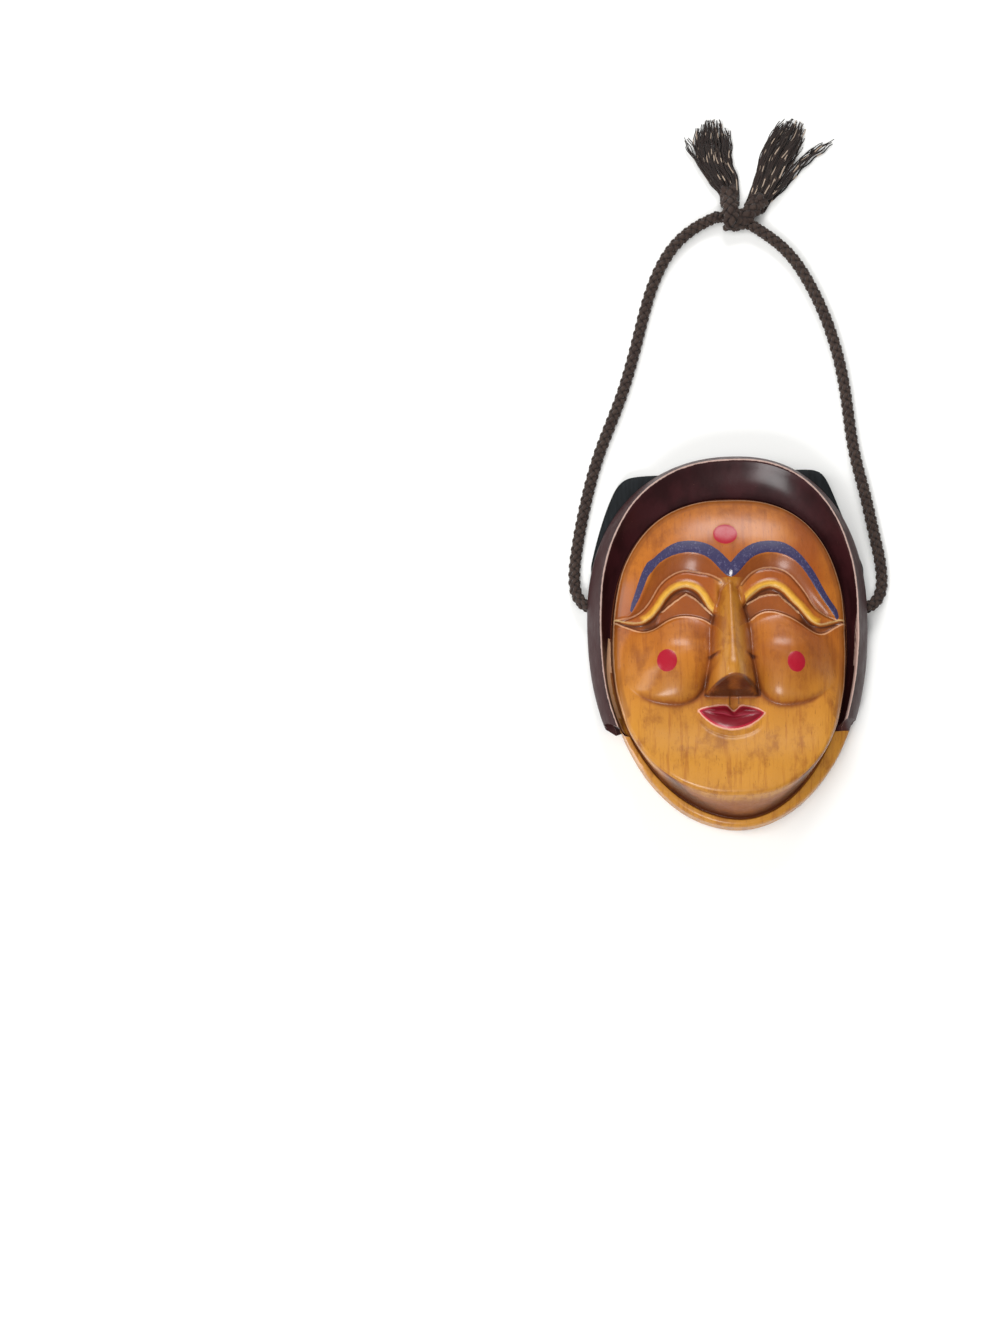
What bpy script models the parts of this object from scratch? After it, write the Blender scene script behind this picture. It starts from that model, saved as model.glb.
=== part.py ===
"""Hahoe mask: a carved and lacquered wooden face that lies on its back, with the braided cord that it
hangs by. Lengths in this file are millimetres, and the meshes are written in metres. The face looks
up (+Z), the top of the head points to +Y, and the open back lies flat on z = 0."""

import math

import bmesh
import bpy
import numpy as np

MM = 0.001

# Outlines seen from the front: left and right half width, top, bottom, centre above and below the
# widest line, height of the widest line, roundness above and below it
PLATE = (46.4, 46.8, 55.8, -65.7, 2.4, 3.2, -4.0, 2.4, 2.35)
GROOVE = (46.8, 47.3, 56.3, -72.6, 2.4, 4.5, -4.0, 2.4, 1.92)
JAW = (48.9, 54.4, 60.0, -76.5, 2.4, 3.3, -3.7, 2.4, 1.97)
CREST = (51.4, 51.8, 71.6, -75.0, 3.9, 2.0, 3.8, 2.37, 2.13)
HOOD = (56.6, 56.6, 76.5, -75.0, 4.8, 2.0, 8.8, 2.2, 2.24)
HOLLOW = (45.0, 45.0, 62.0, -64.0, 2.0, 3.0, 0.0, 2.2, 2.1)
CENTRE = (0.6, -4.0)

# Hair behind the hood: direction and distance of its long edges, and how crisp its corners are
HAIR_EDGES = ((154.0, 71.2), (169.0, 61.5), (92.5, 74.8), (21.0, 64.1))
HAIR_CORNER = 36.0

# Lower ends of the hood: a point on each cut and the slope of the cut
CUT_LEFT = (-47.6, -37.0, -0.40)
CUT_RIGHT = (50.0, -34.4, 0.25)
CUT_HALF = math.radians(0.6)
CUT_LEAN = math.radians(6.0)

# Heights above the back
CREST_TOP, CREST_END = 23.0, 20.0
HOOD_EDGE, HOOD_BACK = 9.8, 7.4
HAIR_TOP = 6.4
JAW_TOP = 10.4

# Heights along the middle of the forehead and of the lower face, from top to bottom
FOREHEAD = ((-80, 25.0), (-20, 26.0), (8, 28.0), (24, 30.5), (36, 30.5), (48, 29.2), (60, 27.2))
LOWER_FACE = ((-80, 27.5), (-66, 30.4), (-56, 31.2), (-47, 29.6), (-38, 27.6), (-26, 26.6), (-8, 25.6),
              (10, 25.4), (28, 25.6), (60, 25.0))
EDGE_FALL = 8.0

# Brow line from the left end over both arches to the right end
BROW = ((-52.0, 6.5), (-42.9, 5.6), (-38.6, 8.6), (-35.4, 13.6), (-32.6, 20.6), (-29.6, 26.2),
        (-24.2, 30.2), (-15.8, 32.0), (-7.4, 28.8), (0.6, 21.8), (8.2, 29.0), (17.2, 32.0),
        (25.6, 29.4), (30.2, 24.8), (34.0, 19.0), (38.0, 13.0), (41.8, 8.2), (45.0, 4.6), (54.0, 5.0))
BROW_SLOPE = 5.0

# Eyes, left then right: lid edge from the nose outwards, and the top edge of the cheek below it
LID_LEFT = ((-6.0, 6.8), (-9.2, 12.6), (-13.4, 16.4), (-17.6, 17.2), (-22.6, 15.0), (-28.4, 10.2),
            (-35.0, 3.9))
LID_RIGHT = ((6.2, 9.0), (9.6, 14.8), (13.2, 17.8), (17.4, 18.6), (22.4, 16.2), (28.0, 10.8),
             (33.8, 4.2))
CHEEK_LEFT = ((-5.0, -1.0), (-9.4, 3.4), (-18.6, 6.2), (-25.4, 3.6), (-31.4, 0.3), (-41.7, 3.8))
CHEEK_RIGHT = ((5.5, 1.0), (9.4, 5.4), (15.9, 8.0), (27.4, 4.6), (36.0, 0.4), (44.5, 4.2))
LID_RISE, EYE_DEPTH = 1.8, 2.6

# Cheek balls: centre, reach towards the nose, towards the ear, upwards and downwards
BALL_LEFT = (-24.5, -11.5, 16.5, 18.5, 18.5, 17.6)
BALL_RIGHT = (24.5, -11.0, 15.5, 18.5, 18.5, 17.8)
BALL_RISE = 7.6

# Nose: where the ridge starts, the tip, the foot of the underside, and half widths down its length
NOSE_TOP, NOSE_TIP, NOSE_FOOT = (0.2, 21.0, 27.0), (0.4, -19.0, 46.0), (1.0, -26.8, 28.0)
NOSE_BASE = ((-40, 11.6), (-27, 11.4), (-16, 10.0), (-11, 9.4), (3, 6.4), (21, 2.4), (30, 1.0))
NOSE_WING = (7.0, -18.6, 4.8, 8.4)
NOSE_RIDGE = ((-40, 4.6), (-20, 4.2), (-10, 3.4), (3, 2.4), (21, 0.8), (30, 0.5))

# Mouth: corners, middle of the parting, top of the bows, bottom of the lower lip
MOUTH_LEFT, MOUTH_RIGHT = (-12.3, -33.0), (13.2, -34.0)
MOUTH_TOP, MOUTH_BOTTOM, LIP_RISE = -31.0, -40.4, 2.6

# Holes through the sides, and the cord that runs through them
HOLE_Y, HOLE_Z, HOLE_DIAMETER = 14.5, 5.5, 8.0
CORD_DIAMETER = 5.0
CORD_ROUTE = (
    (-1.9, 180.4, 3.6), (-8.0, 177.6, 2.8), (-17.4, 170.6, 2.6), (-27.9, 153.4, 2.6),
    (-34.2, 132.0, 2.6), (-42.6, 102.2, 2.6), (-50.6, 81.0, 2.6), (-54.8, 67.0, 2.6),
    (-58.4, 51.0, 2.6), (-60.8, 37.0, 2.6), (-61.6, 26.8, 2.8), (-60.5, 19.7, 4.0),
    (-57.2, 15.2, 5.2), (-51.6, 13.8, 5.6), (-45.4, 13.5, 5.4), (-38.6, 12.7, 4.4),
    (-29.0, 10.2, 3.0), (-16.0, 7.4, 2.6), (0.0, 6.0, 2.6), (16.0, 7.2, 2.6), (29.0, 10.0, 3.0),
    (38.6, 12.6, 4.4), (45.4, 13.5, 5.4), (51.8, 13.7, 5.6), (57.6, 14.8, 5.2), (61.8, 19.2, 3.9),
    (63.2, 26.6, 2.8), (62.7, 34.0, 2.6), (60.8, 44.0, 2.6), (57.1, 62.1, 2.6), (53.0, 80.0, 2.6),
    (49.6, 106.4, 2.6), (43.9, 132.0, 2.6), (36.0, 151.2, 2.6), (25.9, 166.3, 2.6),
    (17.6, 173.2, 2.8), (11.6, 176.9, 3.7))
CORD_POINTS = 60

# Knot, and the two frayed ends: distance along the axis, half width, half thickness
KNOT_CENTRE, KNOT_SIZE = (5.4, 180.4, 4.9), (13.4, 11.6, 9.4)
TASSEL_LEFT = ((2.8, 186.5), (-5.6, 223.8))
TASSEL_LEFT_SECTIONS = ((0.0, 3.6, 2.4), (0.25, 5.2, 2.7), (0.6, 7.0, 2.9), (0.85, 7.2, 2.7),
                        (1.0, 4.8, 1.9))
TASSEL_RIGHT = ((10.1, 185.4), (34.0, 223.6))
TASSEL_RIGHT_SECTIONS = ((0.0, 3.6, 2.4), (0.25, 5.6, 2.7), (0.6, 7.2, 2.9), (0.85, 6.6, 2.7),
                         (1.0, 4.6, 1.9))

# Squares along each side of the face, and how much closer they lie towards the nose
CELLS, CLOSER = 29, 0.3

WOOD = (0.47, 0.19, 0.035)
CORD_BROWN = (0.045, 0.032, 0.025)


# Smooth curves and steps

def spline(at, points):
    """Heights at the places given, on the natural cubic curve through (place, height) points."""
    xs, ys = (np.array(c, float) for c in zip(*points))
    n, h = len(xs), np.diff(xs)
    a, b = np.eye(n), np.zeros(n)
    for i in range(1, n - 1):
        a[i, i - 1:i + 2] = h[i - 1], 2 * (h[i - 1] + h[i]), h[i]
        b[i] = 6 * ((ys[i + 1] - ys[i]) / h[i] - (ys[i] - ys[i - 1]) / h[i - 1])
    m = np.linalg.solve(a, b)
    at = np.clip(at, xs[0], xs[-1])
    i = np.clip(np.searchsorted(xs, at) - 1, 0, n - 2)
    p, q, w = xs[i + 1] - at, at - xs[i], h[i]
    return ((m[i] * p ** 3 + m[i + 1] * q ** 3) / (6 * w)
            + (ys[i] / w - m[i] * w / 6) * p + (ys[i + 1] / w - m[i + 1] * w / 6) * q)


def through(points, count):
    """Evenly spaced points on a smooth curve through the route's points."""
    pts = np.array(points, float)
    run = np.append(0.0, np.cumsum(np.linalg.norm(np.diff(pts, axis=0), axis=1)))
    fine = np.linspace(0.0, run[-1], 40 * len(pts))
    line = np.stack([spline(fine, list(zip(run, c))) for c in pts.T], axis=1)
    far = np.append(0.0, np.cumsum(np.linalg.norm(np.diff(line, axis=0), axis=1)))
    even = np.linspace(0.0, far[-1], count)
    return np.stack([np.interp(even, far, c) for c in line.T], axis=1)


def step(value, start, end):
    """0 before start, 1 after end, and a smooth ramp between them."""
    t = np.clip((value - start) / (end - start), 0.0, 1.0)
    return t * t * (3.0 - 2.0 * t)


def smooth_max(a, b, blend):
    h = np.clip(0.5 + 0.5 * (a - b) / blend, 0.0, 1.0)
    return b + (a - b) * h + blend * h * (1.0 - h)


def beside(x, y, path):
    """Distance from each point to the path, positive on the left of its direction."""
    best, side = np.full(x.shape, 1e9), np.ones(x.shape)
    for (ax, ay), (bx, by) in zip(path[:-1], path[1:]):
        dx, dy = bx - ax, by - ay
        t = np.clip(((x - ax) * dx + (y - ay) * dy) / (dx * dx + dy * dy), 0.0, 1.0)
        ex, ey = x - ax - t * dx, y - ay - t * dy
        d = np.hypot(ex, ey)
        near = d < best
        best = np.where(near, d, best)
        side = np.where(near, np.where(dx * ey - dy * ex >= 0, 1.0, -1.0), side)
    return best * side


# Outlines

def egg(shape):
    """Radius of an egg-shaped outline in any direction from the mask's centre."""
    left, right, top, bottom, x_up, x_down, widest, n_up, n_down = shape
    a = np.linspace(-np.pi, np.pi, 1441)
    c, s = np.cos(a), np.sin(a)
    n = np.where(s >= 0, n_up, n_down)
    mid = np.where(s >= 0, x_up, x_down)
    half = np.where(c >= 0, right - mid, left + mid)
    tall = np.where(s >= 0, top - widest, widest - bottom)
    x = mid + half * np.sign(c) * np.abs(c) ** (2 / n) - CENTRE[0]
    y = widest + tall * np.sign(s) * np.abs(s) ** (2 / n) - CENTRE[1]
    angle, radius = np.arctan2(y, x), np.hypot(x, y)
    order = np.argsort(angle)
    return lambda at: np.interp(at, angle[order], radius[order], period=2 * np.pi)


OUTLINE = {name: egg(shape) for name, shape in dict(
    plate=PLATE, groove=GROOVE, jaw=JAW, crest=CREST, hood=HOOD, hollow=HOLLOW).items()}


def hair_radius(at):
    """Outline of the hair, a block with straight edges that shows past the hood at both upper corners."""
    total = sum(np.clip(np.cos(at - math.radians(degrees)) / far, 0.0, None) ** HAIR_CORNER
                for degrees, far in HAIR_EDGES)
    block = np.clip(total, 1e-90, None) ** (-1 / HAIR_CORNER) - 6.0 * step(-np.sin(at), -0.56, -0.36)
    return np.maximum(OUTLINE["hood"](at) - 0.6, np.where(np.sin(at) > 0.3, block, 0.0))


# Heights of the face

def face_height(x, y):
    """Height of the front of the face plate above the back."""
    at = np.arctan2(y - CENTRE[1], x - CENTRE[0])
    out = np.hypot(x - CENTRE[0], y - CENTRE[1]) / OUTLINE["plate"](at)
    fall = EDGE_FALL * np.clip(out, 0.0, 1.05) ** 4.0
    above = beside(x, y, through(BROW, 120))
    lower = spline(y, LOWER_FACE) - fall
    z = lower + (spline(y, FOREHEAD) - fall - lower) * step(above, -BROW_SLOPE, 0.0)
    for sign, lid, cheek, ball in ((-1, LID_LEFT, CHEEK_LEFT, BALL_LEFT),
                                   (1, LID_RIGHT, CHEEK_RIGHT, BALL_RIGHT)):
        over_lid = sign * beside(x, y, through(lid, 40))
        over_cheek = sign * beside(x, y, through(cheek, 40))
        side = step(sign * x, 4.0, 8.0) * step(-sign * x, -40.0, -34.0)
        z = z + LID_RISE * side * step(over_lid, 0.0, 1.2) * step(-over_lid, -7.0, -5.0)
        z = z - EYE_DEPTH * side * step(-over_lid, 0.0, 1.2) * step(over_cheek, 0.0, 3.0)
        cx, cy, inner, outer, up, down = ball
        reach = np.hypot((x - cx) / np.where(sign * (x - cx) > 0, outer, inner),
                         (y - cy) / np.where(y > cy, up, down))
        soft = 0.62 + 0.9 * step(sign * (x - cx), 2.0, 16.0) * step(y - cy, -16.0, 0.0)
        rise = BALL_RISE * np.clip(1.0 - reach ** 2.2, 0.0, 1.0) ** soft
        z = z + rise * step(-over_cheek, -0.6, 1.5)
    z = np.maximum(z, mouth_height(x, y, lower))
    return smooth_max(z, nose_height(x, y), 1.2)


def soft_face(x, y):
    """The face averaged over one square of the grid, so that thin edges don't turn jagged."""
    near = [(a, b) for a in (-1.1, 0.0, 1.1) for b in (-1.1, 0.0, 1.1)]
    return sum(face_height(x + a, y + b) for a, b in near) / len(near)


def nose_height(x, y):
    """The nose alone: a flat ridge with steep sides and round wings, cut away underneath."""
    (x0, y0, z0), (x1, y1, z1), (_, y2, z2) = NOSE_TOP, NOSE_TIP, NOSE_FOOT
    along = (y0 - y) / (y0 - y1)
    off = np.abs(x - x0 - (x1 - x0) * np.clip(along, 0.0, 1.4))
    top = z0 + (z1 - z0) * along - 40.0 * np.clip(-along, 0.0, None)
    ridge, base = spline(y, NOSE_RIDGE), spline(y, NOSE_BASE)
    t = np.clip((off - ridge) / (base - ridge), 0.0, 1.6)
    z = top - np.clip(top - 22.0, 5.0, None) * t ** 1.25
    for side in (-1, 1):
        wx, wy, reach_x, reach_y = NOSE_WING
        q = np.hypot((x - x1 - side * wx) / reach_x, (y - wy) / reach_y)
        z = smooth_max(z, 8.0 + (z2 - 1.5) * np.sqrt(np.clip(1.0 - q ** 2, 0.0, 1.0)), 2.0)
    arch = y1 - 6.0 * np.clip(off / 10.0, 0.0, 1.05) ** 2.5
    under = z2 + (z1 - z2) * (y - y2) / (arch - y2)
    return np.minimum(z, under)


def mouth_height(x, y, skin):
    """The lips, standing a little proud of the skin, with a parting along the middle."""
    (xl, yl), (xr, yr) = MOUTH_LEFT, MOUTH_RIGHT
    u = (2 * x - xl - xr) / (xr - xl)
    level = yl + (yr - yl) * (u + 1) / 2
    room = np.clip(1 - u * u, 0.0, None)
    top = level + (MOUTH_TOP - level) * room ** 0.8
    bottom = level + (MOUTH_BOTTOM - level) * room ** 0.9
    inside = np.clip(np.minimum(top - y, y - bottom), 0.0, None)
    return skin + LIP_RISE * np.sqrt(np.clip(inside / 3.2, 0.0, 1.0)) * (np.abs(u) < 1)


def hollow_height(x, y):
    """Height of the carved inside of the back, a shallow bowl with room under the nose."""
    at = np.arctan2(y - CENTRE[1], x - CENTRE[0])
    out = np.hypot(x - CENTRE[0], y - CENTRE[1]) / (OUTLINE["hollow"](at) - 1.0)
    bowl = 15.5 * np.sqrt(np.clip(1.0 - np.clip(out, 0.0, 1.0) ** 3.0, 0.0, 1.0))
    nose = 8.0 * np.exp(-((x - 0.6) / 9.0) ** 2 - ((y + 13.0) / 12.0) ** 2)
    return 1.0 + bowl + nose


# The carved block

def ring_profile(at):
    """Rings from the edge of the plate outwards: how far out and how high, beside the hood and beside
    the jaw below it."""
    up = step(np.sin(at), -0.55, 0.9)
    left = step(-np.cos(at), 0.55, 0.9) * step(-np.sin(at), -0.28, -0.12)
    foot = 9.0 + 6.5 * up
    crest = CREST_END + (CREST_TOP - CREST_END) * step(np.sin(at), -0.5, 0.3)
    plate, groove, jaw, edge, hood, hollow = (
        OUTLINE[k](at) for k in ("plate", "groove", "jaw", "crest", "hood", "hollow"))
    hair = hair_radius(at)
    lip = face_height(CENTRE[0] + plate * np.cos(at), CENTRE[1] + plate * np.sin(at))
    both = [(plate - 0.4, lip - 0.6), (plate, lip - 1.6), (groove, foot + 0.6), (groove + 0.5, foot)]
    rings = [(r, z, r, z) for r, z in both]
    ledge, rim = groove + 0.9 + 1.3 * left, groove + 1.3
    for s in (0.0, 0.4, 0.75, 1.0):
        rings.append((ledge + (edge - ledge) * s, foot + 0.7 + (crest - foot - 0.7) * s ** 1.5,
                      rim + (jaw - rim) * s, JAW_TOP - 1.8 * s ** 4))
    rings += [(edge + 0.5, crest - 0.6, jaw, JAW_TOP - 2.6), (edge + (hood - edge) * 0.6, 15.5, jaw, 7.0),
              (hood, HOOD_EDGE, jaw, 6.4), (hood, HOOD_BACK, jaw, 5.4),
              (hood - 1.0, HOOD_BACK - 0.6, jaw, 4.6), (hair - 0.9, HAIR_TOP, jaw, 3.8),
              (hair, HAIR_TOP - 1.0, jaw, 3.0), (hair, 0.8, jaw, 0.8), (hair - 0.8, 0.0, jaw - 0.8, 0.0)]
    rings += [(hollow, 0.0, hollow, 0.0), (hollow - 1.0, 1.0, hollow - 1.0, 1.0)]
    return rings


def turn(at, by):
    """Difference between two directions, from -pi to pi."""
    return (at - by + math.pi) % (2 * math.pi) - math.pi


def on_cut(radius, cut):
    """Direction in which the end of the hood lies at this distance from the centre."""
    cx, cy, slope = cut
    tilt = math.atan(slope)
    away = (cy - CENTRE[1] - slope * (cx - CENTRE[0])) * math.cos(tilt)
    lean = math.asin(max(-0.99, min(0.99, away / radius)))
    return tilt + lean if cx > CENTRE[0] else tilt + math.pi - lean


def polar(v):
    return math.atan2(v.co.y, v.co.x), math.hypot(v.co.x, v.co.y)


def press_disc(bm):
    """A square grid pressed into a disc: its vertices, and those on its edge in order of direction."""
    verts = bmesh.ops.create_grid(bm, x_segments=CELLS, y_segments=CELLS, size=1.0)["verts"]
    for v in verts:
        u, w = (c * (1 - CLOSER + CLOSER * c * c) for c in v.co.xy)
        v.co.x, v.co.y = u * math.sqrt(1 - w * w / 2), w * math.sqrt(1 - u * u / 2)
    rim = [v for v in verts if v.is_boundary]
    return verts, sorted(rim, key=polar)


def lay_disc(verts, bend, outline, inset, height):
    """Spreads the disc's vertices under an outline and lifts them to their heights."""
    at, far = np.array([polar(v) for v in verts]).T
    at = at + bend(at) * far ** 6
    r = far * (OUTLINE[outline](at) - inset)
    x, y = CENTRE[0] + r * np.cos(at), CENTRE[1] + r * np.sin(at)
    for v, p in zip(verts, np.stack([x, y, height(x, y)], axis=1)):
        v.co = p


def mask_body():
    """The front disc, the rings round it down to the back, and the hollow that closes them."""
    bm = bmesh.new()
    front, edge = press_disc(bm)
    raw = np.array([polar(v)[0] for v in edge])
    ends = [on_cut(OUTLINE["crest"](a), cut) for cut, a in ((CUT_LEFT, -2.5), (CUT_RIGHT, -0.6))]
    lines = raw.copy()
    for end in ends:
        near = np.argsort(np.abs(turn(raw, end)))[:2]
        first, second = sorted(near, key=lambda i: turn(raw[i], end))
        lines[first], lines[second] = end - CUT_HALF, end + CUT_HALF
    on_hood = (turn(lines, ends[0]) < 0) | (turn(lines, ends[1]) > 0)

    def bend(at):
        return np.interp(at, raw, turn(lines, raw), period=2 * math.pi)

    lay_disc(front, bend, "plate", 1.4, soft_face)
    open_edge = [e for e in bm.edges if e.is_boundary]
    order = {v: i for i, v in enumerate(edge)}
    straight = ring_profile(lines)
    for k, level in enumerate(straight):
        at = lines.copy()
        for cut, end in zip((CUT_LEFT, CUT_RIGHT), ends):
            radius = level[0][np.argmin(np.abs(turn(lines, end)))]
            lean = max(-CUT_LEAN, min(CUT_LEAN, turn(on_cut(radius, cut), end)))
            if k < len(straight) - 2:
                at += lean * np.clip(1 - np.abs(turn(lines, end)) / 0.5, 0.0, 1.0)
        hood_r, hood_z, jaw_r, jaw_z = (np.broadcast_to(c, at.shape) for c in ring_profile(at)[k])
        r, z = np.where(on_hood, hood_r, jaw_r), np.where(on_hood, hood_z, jaw_z)
        ring = np.stack([CENTRE[0] + r * np.cos(at), CENTRE[1] + r * np.sin(at), z], axis=1)
        open_edge, order = add_ring(bm, open_edge, order, ring)
    back, _ = press_disc(bm)
    lay_disc(back, bend, "hollow", 1.0, hollow_height)
    bmesh.ops.remove_doubles(bm, verts=bm.verts, dist=0.01)
    bmesh.ops.recalc_face_normals(bm, faces=bm.faces)
    return bm


def add_ring(bm, open_edge, order, ring):
    """Extrudes the open edge once and lays its new vertices on the ring."""
    old = {v.co.copy().freeze(): i for v, i in order.items()}
    made = bmesh.ops.extrude_edge_only(bm, edges=open_edge)["geom"]
    fresh = [v for v in made if isinstance(v, bmesh.types.BMVert)]
    order = {v: old[v.co.copy().freeze()] for v in fresh}
    for v, i in order.items():
        v.co = ring[i]
    return [e for e in made if isinstance(e, bmesh.types.BMEdge)], order


# Objects

def material(name, colour, roughness, metallic=0.0):
    made = bpy.data.materials.new(name)
    made.use_nodes = True
    shader = made.node_tree.nodes["Principled BSDF"]
    shader.inputs["Base Color"].default_value = (*colour, 1.0)
    shader.inputs["Roughness"].default_value = roughness
    shader.inputs["Metallic"].default_value = metallic
    made.diffuse_color = (*colour, 1.0)
    return made


def to_object(name, bm, collection, slot=None):
    """A mesh object in metres from a bmesh in millimetres."""
    bmesh.ops.scale(bm, verts=bm.verts, vec=(MM, MM, MM))
    mesh = bpy.data.meshes.new(name)
    bm.to_mesh(mesh)
    bm.free()
    obj = bpy.data.objects.new(name, mesh)
    collection.objects.link(obj)
    if slot:
        mesh.materials.append(slot)
    return obj


def make_mask(parts, cutters, wood):
    mask = to_object("mask", mask_body(), parts, wood)
    mask.data.shade_smooth()
    mask.data.set_sharp_from_angle(angle=math.radians(40))
    bm = bmesh.new()
    bmesh.ops.create_cone(bm, cap_ends=True, segments=24, radius1=HOLE_DIAMETER / 2,
                          radius2=HOLE_DIAMETER / 2, depth=140.0)
    drill = to_object("cord_hole_drill", bm, cutters)
    drill.rotation_euler = (0.0, math.pi / 2, 0.0)
    drill.location = (0.0, HOLE_Y * MM, HOLE_Z * MM)
    drill.hide_render = True
    drill.display_type = "WIRE"
    hole = mask.modifiers.new("cord holes", "BOOLEAN")
    hole.operation, hole.solver, hole.object = "DIFFERENCE", "EXACT", drill


def make_cord(parts, braid):
    curve = bpy.data.curves.new("cord", "CURVE")
    curve.dimensions = "3D"
    curve.bevel_depth = CORD_DIAMETER / 2 * MM
    curve.bevel_resolution = 2
    curve.use_fill_caps = True
    line = curve.splines.new("POLY")
    line.points.add(CORD_POINTS - 1)
    for point, place in zip(line.points, through(CORD_ROUTE, CORD_POINTS)):
        point.co = (*(place * MM), 1.0)
    curve.materials.append(braid)
    parts.objects.link(bpy.data.objects.new("cord", curve))


def make_knot(parts, braid):
    bm = bmesh.new()
    bmesh.ops.create_uvsphere(bm, u_segments=16, v_segments=8, radius=0.5)
    bmesh.ops.scale(bm, verts=bm.verts, vec=KNOT_SIZE)
    bmesh.ops.translate(bm, verts=bm.verts, vec=KNOT_CENTRE)
    to_object("knot", bm, parts, braid).data.shade_smooth()


def make_tassel(name, ends, sections, parts, braid):
    """A flat bundle of loose strands, lofted through oval sections along its axis."""
    (x0, y0), (x1, y1) = ends
    length, lean = math.hypot(x1 - x0, y1 - y0), math.atan2(y1 - y0, x1 - x0)
    bm = bmesh.new()
    first = bmesh.ops.create_circle(bm, segments=12, radius=1.0, cap_ends=True)["verts"]
    order = {v: i for i, v in enumerate(first)}
    oval = [(v.co.x, v.co.y) for v in first]
    open_edge = [e for e in bm.edges if e.is_boundary]
    for n, (share, wide, thick) in enumerate(sections):
        along, mid = share * length, 0.4 + sections[1][2]
        ring = [(x0 + along * math.cos(lean) - u * wide * math.sin(lean),
                 y0 + along * math.sin(lean) + u * wide * math.cos(lean), mid + w * thick) for u, w in oval]
        if n == 0:
            for v, p in zip(first, ring):
                v.co = p
            continue
        open_edge, order = add_ring(bm, open_edge, order, ring)
    bmesh.ops.contextual_create(bm, geom=open_edge)
    bmesh.ops.recalc_face_normals(bm, faces=bm.faces)
    to_object(name, bm, parts, braid)


def main():
    for obj in list(bpy.data.objects):
        bpy.data.objects.remove(obj, do_unlink=True)
    parts = bpy.data.collections.new("hahoe mask")
    cutters = bpy.data.collections.new("cutters")
    for group in (parts, cutters):
        bpy.context.scene.collection.children.link(group)
    wood = material("lacquered wood", WOOD, 0.35)
    braid = material("braided cord", CORD_BROWN, 0.85)
    make_mask(parts, cutters, wood)
    make_cord(parts, braid)
    make_knot(parts, braid)
    make_tassel("tassel_left", TASSEL_LEFT, TASSEL_LEFT_SECTIONS, parts, braid)
    make_tassel("tassel_right", TASSEL_RIGHT, TASSEL_RIGHT_SECTIONS, parts, braid)


main()
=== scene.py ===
"""Hahoe mask: a carved, stained and lacquered wooden face with painted brows, lids, dots and lips, a dark
hood and black hair, and the braided cord that it hangs by. The mask lies on its back on a pale floor.
Carving is measured in millimetres in the face's own frame (x to the right, y to the top of the head,
z out of the face) and every mesh is written in metres."""

import math

import bmesh
import bpy
import numpy as np
from mathutils import Matrix, Vector


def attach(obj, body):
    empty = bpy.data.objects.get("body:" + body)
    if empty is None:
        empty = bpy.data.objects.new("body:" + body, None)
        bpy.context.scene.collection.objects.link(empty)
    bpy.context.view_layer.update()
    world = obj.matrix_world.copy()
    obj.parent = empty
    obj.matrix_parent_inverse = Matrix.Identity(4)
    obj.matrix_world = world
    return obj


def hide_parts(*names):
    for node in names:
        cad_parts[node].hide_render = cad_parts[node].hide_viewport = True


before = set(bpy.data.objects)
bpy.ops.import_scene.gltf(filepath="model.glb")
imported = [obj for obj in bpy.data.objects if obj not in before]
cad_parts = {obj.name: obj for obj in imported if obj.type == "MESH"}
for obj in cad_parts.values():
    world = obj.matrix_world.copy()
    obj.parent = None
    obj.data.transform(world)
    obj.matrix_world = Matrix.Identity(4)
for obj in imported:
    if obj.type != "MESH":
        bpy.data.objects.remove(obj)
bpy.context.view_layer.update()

MM = 0.001

# Camera: where it stands, what it looks at, and its lens on a 36 mm wide sensor
EYE = (-0.0936, -0.3831, 1.7607)
AIM = (-0.0936, -0.0089, 0.0)
LENS = 120.03

# Route of the cord in metres, from the knot through both side holes and back to the knot
CORD_ROUTE = (
    (-0.0019, 0.1804, 0.0036), (-0.0080, 0.1776, 0.0028), (-0.0174, 0.1706, 0.0026),
    (-0.0279, 0.1534, 0.0026), (-0.0342, 0.1320, 0.0026), (-0.0426, 0.1022, 0.0026),
    (-0.0506, 0.0810, 0.0026), (-0.0548, 0.0670, 0.0026), (-0.0584, 0.0510, 0.0026),
    (-0.0608, 0.0370, 0.0026), (-0.0616, 0.0268, 0.0028), (-0.0605, 0.0197, 0.0040),
    (-0.0572, 0.0152, 0.0052), (-0.0516, 0.0138, 0.0056), (-0.0454, 0.0135, 0.0054),
    (-0.0386, 0.0127, 0.0044), (-0.0290, 0.0102, 0.0030), (-0.0160, 0.0074, 0.0026),
    (0.0, 0.0060, 0.0026), (0.0160, 0.0072, 0.0026), (0.0290, 0.0100, 0.0030),
    (0.0386, 0.0126, 0.0044), (0.0454, 0.0135, 0.0054), (0.0518, 0.0137, 0.0056),
    (0.0576, 0.0148, 0.0052), (0.0618, 0.0192, 0.0039), (0.0632, 0.0266, 0.0028),
    (0.0627, 0.0340, 0.0026), (0.0608, 0.0440, 0.0026), (0.0571, 0.0621, 0.0026),
    (0.0530, 0.0800, 0.0026), (0.0496, 0.1064, 0.0026), (0.0439, 0.1320, 0.0026),
    (0.0360, 0.1512, 0.0026), (0.0259, 0.1663, 0.0026), (0.0176, 0.1732, 0.0028),
    (0.0116, 0.1769, 0.0037))

# Round braid: turns of one strand, how far its middle lies from the cord's, and the strand's half sizes
BRAID_PITCH = 14.0
STRAND_OUT, STRAND_WEAVE = 1.46, 0.50
STRAND_WIDE, STRAND_THICK = 0.98, 0.66
BRAID_STEP = 0.55

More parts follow.
